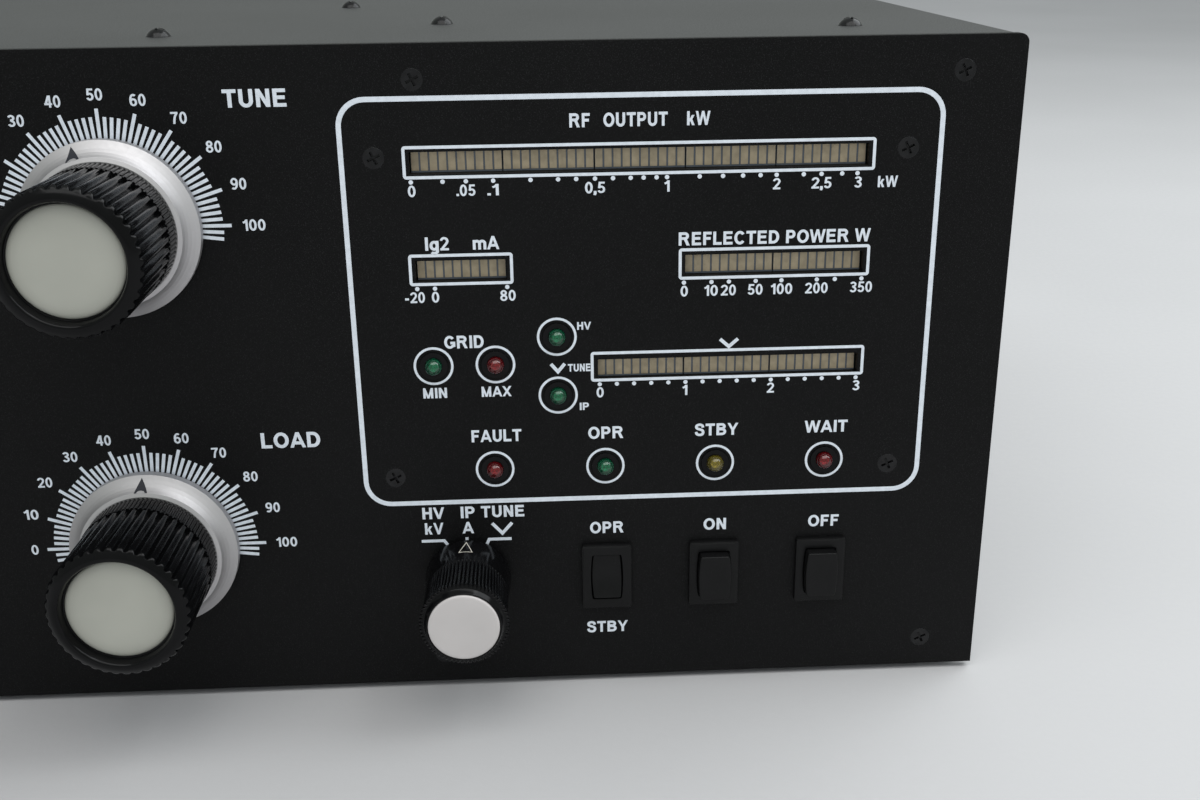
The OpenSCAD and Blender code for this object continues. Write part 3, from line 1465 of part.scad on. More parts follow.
front_panel();
chassis_tray();
front_bulkhead();
divider_wall();
rear_panel();
top_cover();
rubber_feet();
countersunk_screws();
domed_screws();
display_board();
board_spacers();
bar_modules();
bar_segments();
led_holders();
green_leds();
red_leds();
yellow_led();
switch_housings();
standby_rocker();
on_button();
off_button();
meter_knob();
meter_knob_cap();
meter_switch_shaft();
meter_switch();
band_knob();
band_knob_cap();
band_switch_shaft();
band_switch();
tune_skirt();
tune_ring();
tune_knob();
tune_knob_cap();
tune_spindle();
tune_rotor();
load_skirt();
load_ring();
load_knob();
load_knob_cap();
load_spindle();
load_rotor();
drive_housings();
capacitor_stators();
capacitor_end_plates();
ceramic_posts();
power_tube();
tube_socket();
tube_chimney();
tank_coil();
blower_housing();
blower_wheel();
transformers();
rectifier_board();
hv_capacitors();
relays();
rf_sockets();
ground_post();
mains_inlet();
fuse_holders();
control_sockets();
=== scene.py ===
"""Looks of the HF linear amplifier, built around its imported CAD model."""

import json
import math

import bpy
from mathutils import Euler, Matrix, Vector
from mathutils.bvhtree import BVHTree
from mathutils.geometry import delaunay_2d_cdt


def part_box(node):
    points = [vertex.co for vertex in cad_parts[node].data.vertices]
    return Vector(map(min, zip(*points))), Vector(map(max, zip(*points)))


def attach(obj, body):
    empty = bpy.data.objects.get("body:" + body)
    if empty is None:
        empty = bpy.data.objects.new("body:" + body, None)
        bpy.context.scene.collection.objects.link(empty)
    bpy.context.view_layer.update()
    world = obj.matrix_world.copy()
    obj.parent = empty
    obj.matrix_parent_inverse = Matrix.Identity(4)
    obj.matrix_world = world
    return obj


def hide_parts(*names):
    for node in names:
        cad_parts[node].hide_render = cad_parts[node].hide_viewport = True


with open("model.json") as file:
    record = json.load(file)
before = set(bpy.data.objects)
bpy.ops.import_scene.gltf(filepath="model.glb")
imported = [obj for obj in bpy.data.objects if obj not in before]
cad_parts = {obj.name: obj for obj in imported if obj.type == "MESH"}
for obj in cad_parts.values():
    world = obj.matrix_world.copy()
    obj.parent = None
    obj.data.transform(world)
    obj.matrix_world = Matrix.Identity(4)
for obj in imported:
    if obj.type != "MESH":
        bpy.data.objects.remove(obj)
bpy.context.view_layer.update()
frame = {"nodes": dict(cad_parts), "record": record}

MM = 0.001

# ---------------------------------------------------------------- places taken from the frame

PANEL_LO, PANEL_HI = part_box("front_panel")


def middle(node):
    """Centre of a node's box as millimetres right of the panel's middle and above its lower edge."""
    lo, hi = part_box(node)
    return (lo.x + hi.x) / 2 / MM, ((lo.z + hi.z) / 2 - PANEL_LO.z) / MM


def islands(node):
    """Boxes (x0, z0, x1, z1) of a node's separate solids, in the millimetres of middle()."""
    mesh = frame["nodes"][node].data
    keys = [tuple(round(c * 1e6) for c in v.co) for v in mesh.vertices]
    parent = {key: key for key in keys}

    def root(key):
        while parent[key] != key:
            parent[key] = parent[parent[key]]
            key = parent[key]
        return key

    for face in mesh.polygons:
        first = root(keys[face.vertices[0]])
        for i in face.vertices[1:]:
            parent[root(keys[i])] = first
    groups = {}
    for key in parent:
        groups.setdefault(root(key), []).append(key)
    bottom = PANEL_LO.z / MM
    boxes = []
    for group in groups.values():
        xs = [key[0] / 1000 for key in group]
        zs = [key[2] / 1000 - bottom for key in group]
        boxes.append((min(xs), min(zs), max(xs), max(zs)))
    return sorted(boxes)


def centres(node):
    return [((x0 + x1) / 2, (z0 + z1) / 2) for x0, z0, x1, z1 in islands(node)]


ROW_GAP = 5  # the least space between two meters side by side


def bar_rows():
    """Boxes of the four rows of bar graph modules, upper rows first, then from the left."""
    rows = {}
    for x0, z0, x1, z1 in islands("bar_modules"):
        rows.setdefault(round(z0), []).append((x0, z0, x1, z1))
    found = []
    for row in rows.values():
        run = [row[0]]
        for box in row[1:]:
            if box[0] - run[-1][2] > ROW_GAP:
                found.append(run)
                run = []
            run.append(box)
        found.append(run)
    joined = [(r[0][0], r[0][1], r[-1][2], r[0][3]) for r in found]
    return sorted(joined, key=lambda b: (-round(b[1]), b[0]))


TUNE_X, TUNE_Z = middle("tune_skirt")
LOAD_X, LOAD_Z = middle("load_skirt")
METER_X, METER_Z = middle("meter_knob")
BAND_X, BAND_Z = middle("band_knob")
OUTPUT_ROW, GRID_ROW, REFLECTED_ROW, PLATE_ROW = bar_rows()
LAMPS = centres("led_holders")
SWITCHES = centres("switch_housings")
ROW_LAMPS = sorted(LAMPS, key=lambda p: p[1])[:4]
FAULT_LAMP, OPERATE_LAMP, STANDBY_LAMP, WAIT_LAMP = sorted(ROW_LAMPS)
GRID_MIN_LAMP, GRID_MAX_LAMP = sorted(set(LAMPS) - set(ROW_LAMPS))[:2]
PLATE_LAMPS = sorted(set(LAMPS) - set(ROW_LAMPS) - {GRID_MIN_LAMP, GRID_MAX_LAMP}, key=lambda p: -p[1])
OPERATE_SWITCH, ON_SWITCH, OFF_SWITCH = SWITCHES

# ---------------------------------------------------------------- flat shapes

PRINT_T = 0.05 * MM
SUNK = 0.02 * MM
ARC_STEP = 10
SAME_POINT = 1e-6
MERGED = 1e-5
SHARPEST_CORNER = 0.35
CAST_FROM = 0.1


def arc(cx, cy, rx, ry, start, end):
    """Points of an ellipse's arc, in degrees from +x, turning left when end is larger."""
    steps = max(3, round(abs(end - start) / ARC_STEP))
    turns = [math.radians(start + (end - start) * i / steps) for i in range(steps + 1)]
    return [(cx + rx * math.cos(a), cy + ry * math.sin(a)) for a in turns]


def smooth(points, steps=5):
    """Points of a curve that runs smoothly through the given ones."""
    ends = [points[0]] + list(points) + [points[-1]]
    curve = []
    for p0, p1, p2, p3 in zip(ends, ends[1:], ends[2:], ends[3:]):
        for i in range(steps):
            t = i / steps
            curve.append(tuple(
                0.5 * (2 * b + (c - a) * t + (2 * a - 5 * b + 4 * c - d) * t * t
                       + (3 * b - a - 3 * c + d) * t ** 3)
                for a, b, c, d in zip(p0, p1, p2, p3)))
    return curve + [points[-1]]


def leftward(quad):
    """The quad's corners in left-turning order."""
    area = sum(a[0] * b[1] - b[0] * a[1] for a, b in zip(quad, quad[1:] + quad[:1]))
    return quad if area > 0 else quad[::-1]


def band(points, width, level=None):
    """Quads along a line. level is the thickness of its level stretches, where it differs from width."""
    squeeze = width / (level or width)
    line = [Vector((x, y * squeeze)) for x, y in points]
    closed = (line[0] - line[-1]).length < SAME_POINT
    if closed:
        line.pop()
    n = len(line)
    sides = []
    for i, p in enumerate(line):
        before = line[i - 1] if i or closed else None
        after = line[(i + 1) % n] if i + 1 < n or closed else None
        way_in = (p - before).normalized() if before is not None else (after - p).normalized()
        way_out = (after - p).normalized() if after is not None else way_in
        normal = Vector((-way_in.y - way_out.y, way_in.x + way_out.x)).normalized()
        reach = width / 2 / max(SHARPEST_CORNER, normal.dot(Vector((-way_in.y, way_in.x))))
        sides.append((p + normal * reach, p - normal * reach))
    quads = []
    for i in range(n if closed else n - 1):
        a, b = sides[i], sides[(i + 1) % n]
        quad = [(q.x, q.y / squeeze) for q in (a[0], a[1], b[1], b[0])]
        quads.append(leftward(quad))
    return quads


def circle(cx, cy, r):
    return arc(cx, cy, r, r, 0, 360)


def disc(cx, cy, r, sides=20):
    turns = [2 * math.pi * i / sides for i in range(sides)]
    return [[(cx + r * math.cos(a), cy + r * math.sin(a)) for a in turns]]


def rounded(x0, z0, x1, z1, r):
    """A closed line round a box with rounded corners."""
    line = []
    corners = ((x1 - r, z0 + r, -90), (x1 - r, z1 - r, 0), (x0 + r, z1 - r, 90), (x0 + r, z0 + r, 180))
    for cx, cz, start in corners:
        line += arc(cx, cz, r, r, start, start + 90)
    return line + [line[0]]


def fused(polygons):
    """One triangulated flat shape that covers all the polygons."""
    points, faces = [], []
    for polygon in polygons:
        faces.append(list(range(len(points), len(points) + len(polygon))))
        points += [Vector(p) for p in polygon]
    corners, _, triangles, _, _, sources = delaunay_2d_cdt(points, [], faces, 0, MERGED, True)
    return [tuple(p) for p in corners], [tuple(t) for t, source in zip(triangles, sources) if source]


def joined(shapes):
    """Several flat shapes that don't touch, as one."""
    points, faces = [], []
    for some, triangles in shapes:
        shift = len(points)
        points += some
        faces += [tuple(i + shift for i in f) for f in triangles]
    return points, faces


def moved(shape, dx, dy, scale_x=1, scale_y=1):
    return [(x * scale_x + dx, y * scale_y + dy) for x, y in shape[0]], shape[1]


def linked(name, points, faces, paint):
    """A mesh object in the scene, in one paint."""
    mesh = bpy.data.meshes.new(name)
    mesh.from_pydata(points, [], faces)
    mesh.validate()
    mesh.materials.append(paint)
    made = bpy.data.objects.new(name, mesh)
    bpy.context.scene.collection.objects.link(made)
    return made


def solid(name, shape, place, body, paint):
    """A thin closed solid over a flat shape. place(x, y) gives a point of the surface and its way out."""
    flat, triangles = shape
    placed = [place(x, y) for x, y in flat]
    n = len(placed)
    points = [p + out * PRINT_T for p, out in placed] + [p - out * SUNK for p, out in placed]
    used = {edge for a, b, c in triangles for edge in ((a, b), (b, c), (c, a))}
    faces = list(triangles) + [(c + n, b + n, a + n) for a, b, c in triangles]
    faces += [(a + n, b + n, b, a) for a, b in sorted(used) if (b, a) not in used]
    piece = linked(name, points, faces, paint)
    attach(piece, body)
    return piece


def on_panel(x, z):
    return Vector((x * MM, PANEL_LO.y, PANEL_LO.z + z * MM)), Vector((0, -1, 0))


def draped(mesh, origin, right, up):
    """A place function that lays a flat shape, in millimetres, on a mesh seen against right x up."""
    tree = BVHTree.FromPolygons([v.co for v in mesh.vertices], [f.vertices for f in mesh.polygons])
    out = right.cross(up)

    def place(x, y):
        start = origin + (right * x + up * y) * MM + out * CAST_FROM
        hit, normal, _, _ = tree.ray_cast(start, -out)
        return hit, normal if normal.dot(out) > 0 else -normal

    return place


# ---------------------------------------------------------------- lettering
# A plain bold sans, drawn as strokes in a box one capital high. Upright strokes are
# STEM wide and level ones BAR high, and those of digits a little thinner. S, B, D and E
# are the half widths that keep a stroke inside its box. LOW is the height of small letters.

STEM, BAR = 0.235, 0.2
DIGIT_STEM, DIGIT_BAR = 0.196, 0.166
S, B = STEM / 2, BAR / 2
D, E = DIGIT_STEM / 2, DIGIT_BAR / 2
LOW = 0.724


def bowl(x, top, bottom, right):
    """The bowl of a D, P, R or B, from the stem and back to it."""
    middle_y = (top + bottom) / 2
    return [(0, top)] + arc(x, middle_y, right - S - x, (top - bottom) / 2, 90, -90) + [(0, bottom)]


def stem(x, bottom=0, top=1):
    return [(x, bottom), (x, top)]


def slant(x0, y0, x1, y1, width):
    """A sloping stroke whose ends are cut level. x0 and x1 are the left corners of its ends."""
    return leftward([(x0, y0), (x0 + width, y0), (x1 + width, y1), (x1, y1)])


# letter: width, strokes, sloping strokes
LETTERS = {
    "A": (1.0, [[(0.22, 0.3), (0.78, 0.3)]], [(0, 0, 0.39, 1, 0.22), (0.78, 0, 0.39, 1, 0.22)]),
    "B": (0.84, [stem(S), bowl(0.44, 1 - B, 0.56, 0.79), bowl(0.46, 0.5, B, 0.84)], []),
    "C": (0.88, [arc(0.46, 0.5, 0.46 - S, 0.51 - B, 38, 322)], []),
    "D": (0.85, [stem(S), bowl(0.38, 1 - B, B, 0.85)], []),
    "E": (0.76, [stem(S), [(0, 1 - B), (0.74, 1 - B)], [(0, 0.52), (0.69, 0.52)],
                 [(0, B), (0.76, B)]], []),
    "F": (0.69, [stem(S), [(0, 1 - B), (0.69, 1 - B)], [(0, 0.5), (0.61, 0.5)]], []),
    "G": (0.94, [arc(0.47, 0.5, 0.47 - S, 0.51 - B, 40, 325), [(0.52, 0.44), (0.94, 0.44)],
                 stem(0.94 - S, 0.13, 0.5)], []),
    "H": (0.8, [stem(S), stem(0.8 - S), [(0, 0.53), (0.8, 0.53)]], []),
    "I": (0.2, [stem(S)], []),
    "L": (0.7, [stem(S), [(0, B), (0.7, B)]], []),
    "M": (0.97, [stem(S), stem(0.97 - S)], [(0.02, 1, 0.385, 0, 0.2), (0.75, 1, 0.385, 0, 0.2)]),
    "N": (0.8, [stem(S), stem(0.8 - S)], [(0, 1, 0.56, 0, 0.24)]),
    "O": (0.97, [arc(0.485, 0.5, 0.485 - S, 0.51 - B, 0, 360)], []),
    "P": (0.77, [stem(S), bowl(0.43, 1 - B, 0.46, 0.77)], []),
    "R": (0.91, [stem(S), bowl(0.5, 1 - B, 0.53, 0.84)], [(0.65, 0, 0.4, 0.5, 0.26)]),
    "S": (0.8, [smooth([(0.67, 0.68), (0.62, 0.85), (0.4, 0.925), (0.17, 0.86), (0.12, 0.71),
                        (0.23, 0.59), (0.43, 0.53), (0.63, 0.44), (0.7, 0.28), (0.62, 0.12),
                        (0.4, 0.07), (0.17, 0.14), (0.1, 0.32)])], []),
    "T": (0.8, [[(0, 1 - B), (0.8, 1 - B)], stem(0.4)], []),
    "U": (0.81, [[(S, 1)] + arc(0.405, 0.36, 0.405 - S, 0.37 - B, 180, 360) + [(0.81 - S, 1)]], []),
    "V": (0.93, [], [(0, 1, 0.355, 0, 0.22), (0.71, 1, 0.355, 0, 0.22)]),
    "W": (1.31, [], [(0, 1, 0.25, 0, 0.21), (0.55, 1, 0.27, 0, 0.2), (0.56, 1, 0.84, 0, 0.2),
                     (1.1, 1, 0.85, 0, 0.21)]),
    "X": (0.93, [], [(0, 0, 0.68, 1, 0.25), (0.68, 0, 0, 1, 0.25)]),
    "Y": (0.93, [stem(0.465, 0, 0.5)], [(0, 1, 0.35, 0.4, 0.23), (0.7, 1, 0.35, 0.4, 0.23)]),
    "g": (0.71, [arc(0.355, 0.36, 0.355 - S, 0.37 - B, 0, 360), stem(0.71 - S, -0.08, LOW),
                 arc(0.355, -0.06, 0.355 - S, 0.24 - B, 0, -150)], []),
    "k": (0.69, [stem(S)], [(0.12, 0.28, 0.43, LOW, 0.24), (0.45, 0, 0.2, 0.48, 0.24)]),
    "m": (1.07, [stem(S, 0, LOW)]
          + [[(x, 0.4)] + arc(x + 0.2175, 0.47, 0.2175, LOW + 0.01 - B - 0.47, 180, 0) + [(x + 0.435, 0)]
             for x in (S, S + 0.435)], []),
    "z": (0.6, [[(0.02, LOW - B), (0.6, LOW - B)], [(0, B), (0.6, B)]],
          [(0, B, 0.34, LOW - B, 0.25)]),
    "0": (0.66, [arc(0.33, 0.5, 0.33 - D, 0.51 - E, 0, 360)], []),
    "1": (0.44, [stem(0.34), smooth([(0.03, 0.72), (0.2, 0.79), (0.33, 0.95)])], []),
    "2": (0.67, [arc(0.33, 0.7, 0.24, 0.3 - E, 172, -15)
                 + smooth([(0.5, 0.52), (0.3, 0.3), (0.12, E)])[1:], [(0, E), (0.67, E)]], []),
    "3": (0.66, [arc(0.32, 0.74, 0.22, 0.26 - E, 160, -90), arc(0.32, 0.28, 0.24, 0.28 - E, 90, -162),
                 [(0.22, 0.54), (0.36, 0.54)]], []),
    "4": (0.7, [[(0, 0.29), (0.7, 0.29)], stem(0.5)], [(0, 0.25, 0.34, 1, 0.22)]),
    "5": (0.66, [[(0.14, 1 - E), (0.62, 1 - E)], [(0.21, 1), (0.14, 0.44)],
                 arc(0.32, 0.325, 0.24, 0.325 - E, 145, -158)], []),
    "6": (0.67, [arc(0.335, 0.32, 0.235, 0.33 - E, 0, 360),
                 arc(0.37, 0.5, 0.27, 0.51 - E, 55, 180) + [(0.1, 0.32)]], []),
    "7": (0.66, [[(0, 1 - E), (0.66, 1 - E)], smooth([(0.57, 0.9), (0.37, 0.55), (0.27, 0)])], []),
    "8": (0.67, [arc(0.335, 0.74, 0.2, 0.27 - E, 0, 360),
                 arc(0.335, 0.28, 0.235, 0.29 - E, 0, 360)], []),
    "9": (0.67, [arc(0.335, 0.68, 0.235, 0.33 - E, 0, 360),
                 arc(0.3, 0.5, 0.27, 0.51 - E, -125, 0) + [(0.57, 0.68)]], []),
    ".": (0.2, [stem(D, 0, 0.2)], []),
    ",": (0.2, [stem(D, 0, 0.2), [(0.13, 0.1), (0.06, -0.16)]], []),
    "-": (0.38, [[(0, 0.36), (0.38, 0.36)]], []),
}
SPACE = 0.4
SIDE_GAPS = {"AVWXY": 0.01, "TL.,": 0.05, "OCGQS0123456789g": 0.055}
PLAIN_SIDE_GAP = 0.085
glyphs = {}


def side_gap(letter):
    return next((gap for some, gap in SIDE_GAPS.items() if letter in some), PLAIN_SIDE_GAP)


def glyph(letter):
    if letter not in glyphs:
        _, strokes, slants = LETTERS[letter]
        weight = (DIGIT_STEM, DIGIT_BAR) if letter.isdigit() else (STEM, BAR)
        polygons = [quad for line in strokes for quad in band(line, *weight)]
        polygons += [slant(*s) for s in slants]
        glyphs[letter] = fused(polygons)
    return glyphs[letter]


def word(text, x, z, height, width=None):
    """A word centred at (x, z), a capital height high, fitted to its width where one is given."""
    shapes, at, gap = [], 0, 0
    for letter in text:
        if letter == " ":
            at += SPACE
            continue
        at += (gap + side_gap(letter)) if shapes else 0
        shapes.append(moved(glyph(letter), at, 0))
        at += LETTERS[letter][0]
        gap = side_gap(letter)
    fit = width / at if width else height
    return moved(joined(shapes), x - at * fit / 2, z - height / 2, fit, height)


def words(rows):
    return joined([word(*row) for row in rows])


# ---------------------------------------------------------------- materials


def add(mat, kind, inputs=None, **settings):
    """A shader node with its settings and its inputs, given as values or as other nodes' outputs."""
    made = mat.node_tree.nodes.new("ShaderNode" + kind)
    for key, value in settings.items():
        setattr(made, key, value)
    for key, value in (inputs or {}).items():
        if isinstance(value, bpy.types.NodeSocket):
            mat.node_tree.links.new(value, made.inputs[key])
        else:
            made.inputs[key].default_value = value
    return made


def link(mat, value, socket):
    mat.node_tree.links.new(value, mat.node_tree.nodes["Principled BSDF"].inputs[socket])


def noise(mat, where, scale, detail=2.0, roughness=0.5):
    return add(mat, "TexNoise", {"Vector": where, "Scale": scale, "Detail": detail,
                                 "Roughness": roughness}).outputs["Fac"]


def spread(mat, value, low, high, from_low=0.3, from_high=0.7):
    return add(mat, "MapRange", {"Value": value, "From Min": from_low, "From Max": from_high,
                                 "To Min": low, "To Max": high}).outputs["Result"]


def blend(mat, factor, first, second):
    mixed = add(mat, "Mix", data_type="RGBA")
    for i, value in ((0, factor), (6, first), (7, second)):
        if isinstance(value, bpy.types.NodeSocket):
            mat.node_tree.links.new(value, mixed.inputs[i])
        else:
            mixed.inputs[i].default_value = value if i == 0 else (*value, 1)
    return mixed.outputs[2]


def shade(color, factor):
    return tuple(min(1, c * factor) for c in color)


def surface(name, color, roughness, metallic=0.0, grain=1500, depth=0.01, mottle=40, patchy=0.15,
            uneven=0.08, stretch=(1, 1, 1), bevel=0.0, centre=(0, 0, 0), **constants):
    """A material with patchy colour, uneven roughness and a fine grain.

    grain and mottle are noise scales per metre, depth and bevel are in millimetres."""
    mat = bpy.data.materials.new(name)
    mat.use_nodes = True
    shader = mat.node_tree.nodes["Principled BSDF"]
    shader.inputs["Metallic"].default_value = metallic
    for key, value in constants.items():
        shader.inputs[key.replace("_", " ").title().replace("Ior", "IOR")].default_value = value
    where = add(mat, "TexCoord").outputs["Object"]
    where = add(mat, "Mapping", {"Vector": where, "Location": [-c * s for c, s in zip(centre, stretch)],
                                 "Scale": stretch}).outputs["Vector"]
    fine = noise(mat, where, grain, 3.0, 0.6)
    broad = noise(mat, where, mottle, 3.0)
    patches = blend(mat, spread(mat, broad, 0, 1), shade(color, 1 - patchy), shade(color, 1 + patchy))
    link(mat, patches, "Base Color")
    link(mat, spread(mat, fine, roughness - uneven, roughness + uneven), "Roughness")
    bump = add(mat, "Bump", {"Height": fine, "Strength": 0.6, "Distance": depth * MM})
    if bevel:
        rim = add(mat, "Bevel", {"Radius": bevel * MM}, samples=4)
        mat.node_tree.links.new(rim.outputs["Normal"], bump.inputs["Normal"])
    link(mat, bump.outputs["Normal"], "Normal")
    return mat


def powder_coat(name, color, light, bevel, gleam=0.13):
    """Fine-textured powder coat: a pebbled skin with paler flecks."""
    mat = surface(name, color, 0.48, grain=2300, depth=0.05, mottle=12, patchy=0.18, uneven=0.1,
                  bevel=bevel, specular_ior_level=gleam)
    where = add(mat, "TexCoord").outputs["Object"]
    flecks = spread(mat, noise(mat, where, 3100, 1.0), 0, 1, 0.56, 0.74)
    base = mat.node_tree.nodes["Principled BSDF"].inputs["Base Color"].links[0].from_socket
    link(mat, blend(mat, flecks, base, light), "Base Color")
    return mat


def turned(name, color, roughness, centre):
    """Metal turned about a level axis through centre, with fine grooves and a radial sheen."""
    mat = surface(name, color, roughness, 1.0, grain=900, depth=0.001, mottle=60, patchy=0.03,
                  uneven=0.03, bevel=0.12, anisotropic=0.2, centre=centre)
    nodes, links = mat.node_tree.nodes, mat.node_tree.links
    where = next(n for n in nodes if n.type == "MAPPING").outputs["Vector"]
    grooves = add(mat, "TexWave", {"Vector": where, "Scale": 620.0, "Distortion": 1.2, "Detail": 2.0,
                                   "Detail Scale": 2.0}, wave_type="RINGS", rings_direction="Y")
    bump = next(n for n in nodes if n.type == "BUMP")
    cut = add(mat, "Bump", {"Height": grooves.outputs["Fac"], "Strength": 0.12, "Distance": 0.006 * MM,
                            "Normal": bump.outputs["Normal"]})
    link(mat, cut.outputs["Normal"], "Normal")
    ring = add(mat, "Tangent", direction_type="RADIAL", axis="Y")
    links.new(ring.outputs["Tangent"], nodes["Principled BSDF"].inputs["Tangent"])
    return mat


def epoxy(name, color):
    """Clear coloured lamp moulding."""
    return surface(name, color, 0.08, grain=700, depth=0.003, mottle=300, patchy=0.1, uneven=0.03,
                   transmission_weight=0.82, ior=1.5, coat_weight=0.4)


def screen_print(name, color):
    """Screen-printing ink, a little uneven where it lies over the texture of the paint."""
    return surface(name, color, 0.55, grain=2300, depth=0.03, mottle=700, patchy=0.07)


def place_of(node):
    lo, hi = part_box(node)
    return (lo + hi) / 2


MATERIALS = {
    "powder_black": powder_coat("powder_black", (0.0035, 0.0035, 0.0036), (0.016, 0.016, 0.0165), 0.5),
    "sheet_aluminium": surface("sheet_aluminium", (0.6, 0.61, 0.62), 0.36, 1.0, grain=500, depth=0.01,
                               mottle=15, stretch=(1, 0.03, 1), bevel=0.2),
    "machined_steel": surface("machined_steel", (0.58, 0.58, 0.59), 0.28, 1.0, grain=900, depth=0.004,
                              stretch=(1, 6, 1), bevel=0.15),
    "gloss_black": surface("gloss_black", (0.003, 0.003, 0.0033), 0.16, grain=260, depth=0.015, mottle=90,
                           patchy=0.3, uneven=0.06, bevel=0.12, specular_ior_level=0.15),
    "switch_black": surface("switch_black", (0.004, 0.004, 0.0042), 0.34, grain=1800, depth=0.02,
                            mottle=120, bevel=0.25, specular_ior_level=0.2),
    "screw_black": surface("screw_black", (0.01, 0.01, 0.0105), 0.22, 0.1, grain=1400, depth=0.02,
                           mottle=400, patchy=0.3, bevel=0.15, specular_ior_level=0.25),
    "dial_cap_grey": surface("dial_cap_grey", (0.4, 0.4, 0.345), 0.4, grain=1600, depth=0.008, mottle=60,
                             patchy=0.04, bevel=0.3),
    "selector_cap_grey": surface("selector_cap_grey", (0.56, 0.53, 0.51), 0.45, grain=1600, depth=0.008,
                                 mottle=60, patchy=0.04, bevel=0.3),
    "rubber": surface("rubber", (0.015, 0.015, 0.015), 0.75, grain=1200, depth=0.05, mottle=200),
    "board_green": surface("board_green", (0.012, 0.09, 0.045), 0.3, grain=1100, depth=0.01, mottle=260,
                           patchy=0.35, coat_weight=0.3),
    "brass": surface("brass", (0.72, 0.53, 0.24), 0.26, 1.0, grain=800, depth=0.004, bevel=0.15),
    "module_grey": surface("module_grey", (0.1, 0.115, 0.13), 0.34, grain=1500, depth=0.006, mottle=350,
                           patchy=0.12, bevel=0.1),
    "segment_beige": surface("segment_beige", (0.42, 0.345, 0.225), 0.45, grain=2600, depth=0.02,
                             mottle=420, patchy=0.16),
    "led_green": epoxy("led_green", (0.004, 0.24, 0.1)),
    "led_red": epoxy("led_red", (0.33, 0.003, 0.008)),
    "led_yellow": epoxy("led_yellow", (0.36, 0.28, 0.02)),
    "ceramic_white": surface("ceramic_white", (0.74, 0.72, 0.67), 0.35, grain=700, depth=0.02, mottle=50,
                             patchy=0.06, bevel=0.3, coat_weight=0.4),
    "tube_silver": surface("tube_silver", (0.7, 0.69, 0.66), 0.32, 1.0, grain=700, depth=0.01,
                           mottle=70, patchy=0.14, bevel=0.15),
    "chimney_white": surface("chimney_white", (0.78, 0.78, 0.76), 0.4, grain=500, depth=0.02, mottle=20,
                             patchy=0.05, subsurface_weight=0.2),
    "copper": surface("copper", (0.75, 0.36, 0.22), 0.26, 1.0, grain=600, depth=0.01, mottle=55,
                      patchy=0.2),
    "blower_grey": surface("blower_grey", (0.1, 0.1, 0.105), 0.45, grain=900, depth=0.03, bevel=0.4),
    "wheel_zinc": surface("wheel_zinc", (0.5, 0.51, 0.53), 0.4, 1.0, grain=500, depth=0.02, mottle=130,
                          patchy=0.25),
    "transformer_wrap": surface("transformer_wrap", (0.75, 0.55, 0.12), 0.4, grain=500, depth=0.06,
                                mottle=60, patchy=0.2, stretch=(1, 1, 3), coat_weight=0.3),
    "capacitor_blue": surface("capacitor_blue", (0.02, 0.07, 0.2), 0.25, grain=900, depth=0.006,
                              mottle=30, patchy=0.1, coat_weight=0.5),
    "relay_black": surface("relay_black", (0.02, 0.02, 0.021), 0.38, grain=1500, depth=0.02, bevel=0.3),
    "socket_nickel": surface("socket_nickel", (0.68, 0.66, 0.62), 0.24, 1.0, grain=700, depth=0.005,
                             mottle=90, bevel=0.15),
    "switch_blue": surface("switch_blue", (0.03, 0.09, 0.16), 0.35, grain=1200, depth=0.01, bevel=0.2),
}
OWN_PAINTS = {node: turned(node + "_aluminium", (0.58, 0.565, 0.575), 0.56, place_of(node))
              for node in ("tune_skirt", "load_skirt")}
# The top cover has the panel's black powder coat. Its colour and flecks are painted lighter than the panel's
# as painted sheen for the glancing light on the top, beside its real, stronger specular gleam.
OWN_PAINTS["top_cover"] = powder_coat("cover_coat_painted_sheen", (0.024, 0.0245, 0.025), (0.06, 0.06, 0.061), 0.5, 0.5)
INK = screen_print("white_ink", (0.72, 0.77, 0.82))
POINTER_INK = screen_print("black_ink", (0.012, 0.013, 0.02))
GOLD_INK = screen_print("gold_ink", (0.55, 0.52, 0.45))


def dress_nodes():
    """Gives every CAD node its own paint, or else the material of its slot in the record."""
    for part in frame["record"]["subparts"]:
        node, slot = part["node"], part["material_slot"]
        mesh = frame["nodes"][node].data
        paint = OWN_PAINTS.get(node) or MATERIALS.get(slot) or MATERIALS["machined_steel"]
        mesh.materials.clear()
        mesh.materials.append(paint)


# ---------------------------------------------------------------- printing on the panel

FRAME_BOX = (54.0, 60.7, 221.0, 181.2)
FRAME_LINE = 1.4
FRAME_CORNER = 8.0
WINDOW_LINE = 0.85
WINDOW_CORNER = 0.5
WINDOW_SIDE = 2.1
WINDOW_RISE = 4.55
LAMP_RING_R = 5.4
LAMP_RING_LINE = 0.7
DOT_R = 0.62
CAP = 3.8
SMALL_CAP = 3.15
TINY_CAP = 2.3
DIAL_CAP = 4.8
LAMP_LABEL_RISE = 10.65
PAIR_LABEL_DROP = 8.25
SWITCH_LABEL_RISE, SWITCH_LABEL_DROP = 15.95, 18.2
OUTPUT_DOT_Z, SMALL_DOT_Z, PLATE_DOT_Z = 157.9, 127.6, 97.6
NUMBER_DROP = 2.5
SELECTOR_MARK_STROKE = 0.9


def outline(row, up):
    x0, z0, x1, z1 = row
    middle_z = (z0 + z1) / 2 + up
    inset = WINDOW_LINE / 2
    line = rounded(x0 - WINDOW_SIDE + inset, middle_z - WINDOW_RISE + inset, x1 + WINDOW_SIDE - inset,
                   middle_z + WINDOW_RISE - inset, WINDOW_CORNER)
    return fused(band(line, WINDOW_LINE))


def chevron(x, z, width, height, line=1.0):
    top = z + height / 2
    return fused(band([(x - width / 2, top), (x, z - height / 2), (x + width / 2, top)], line))


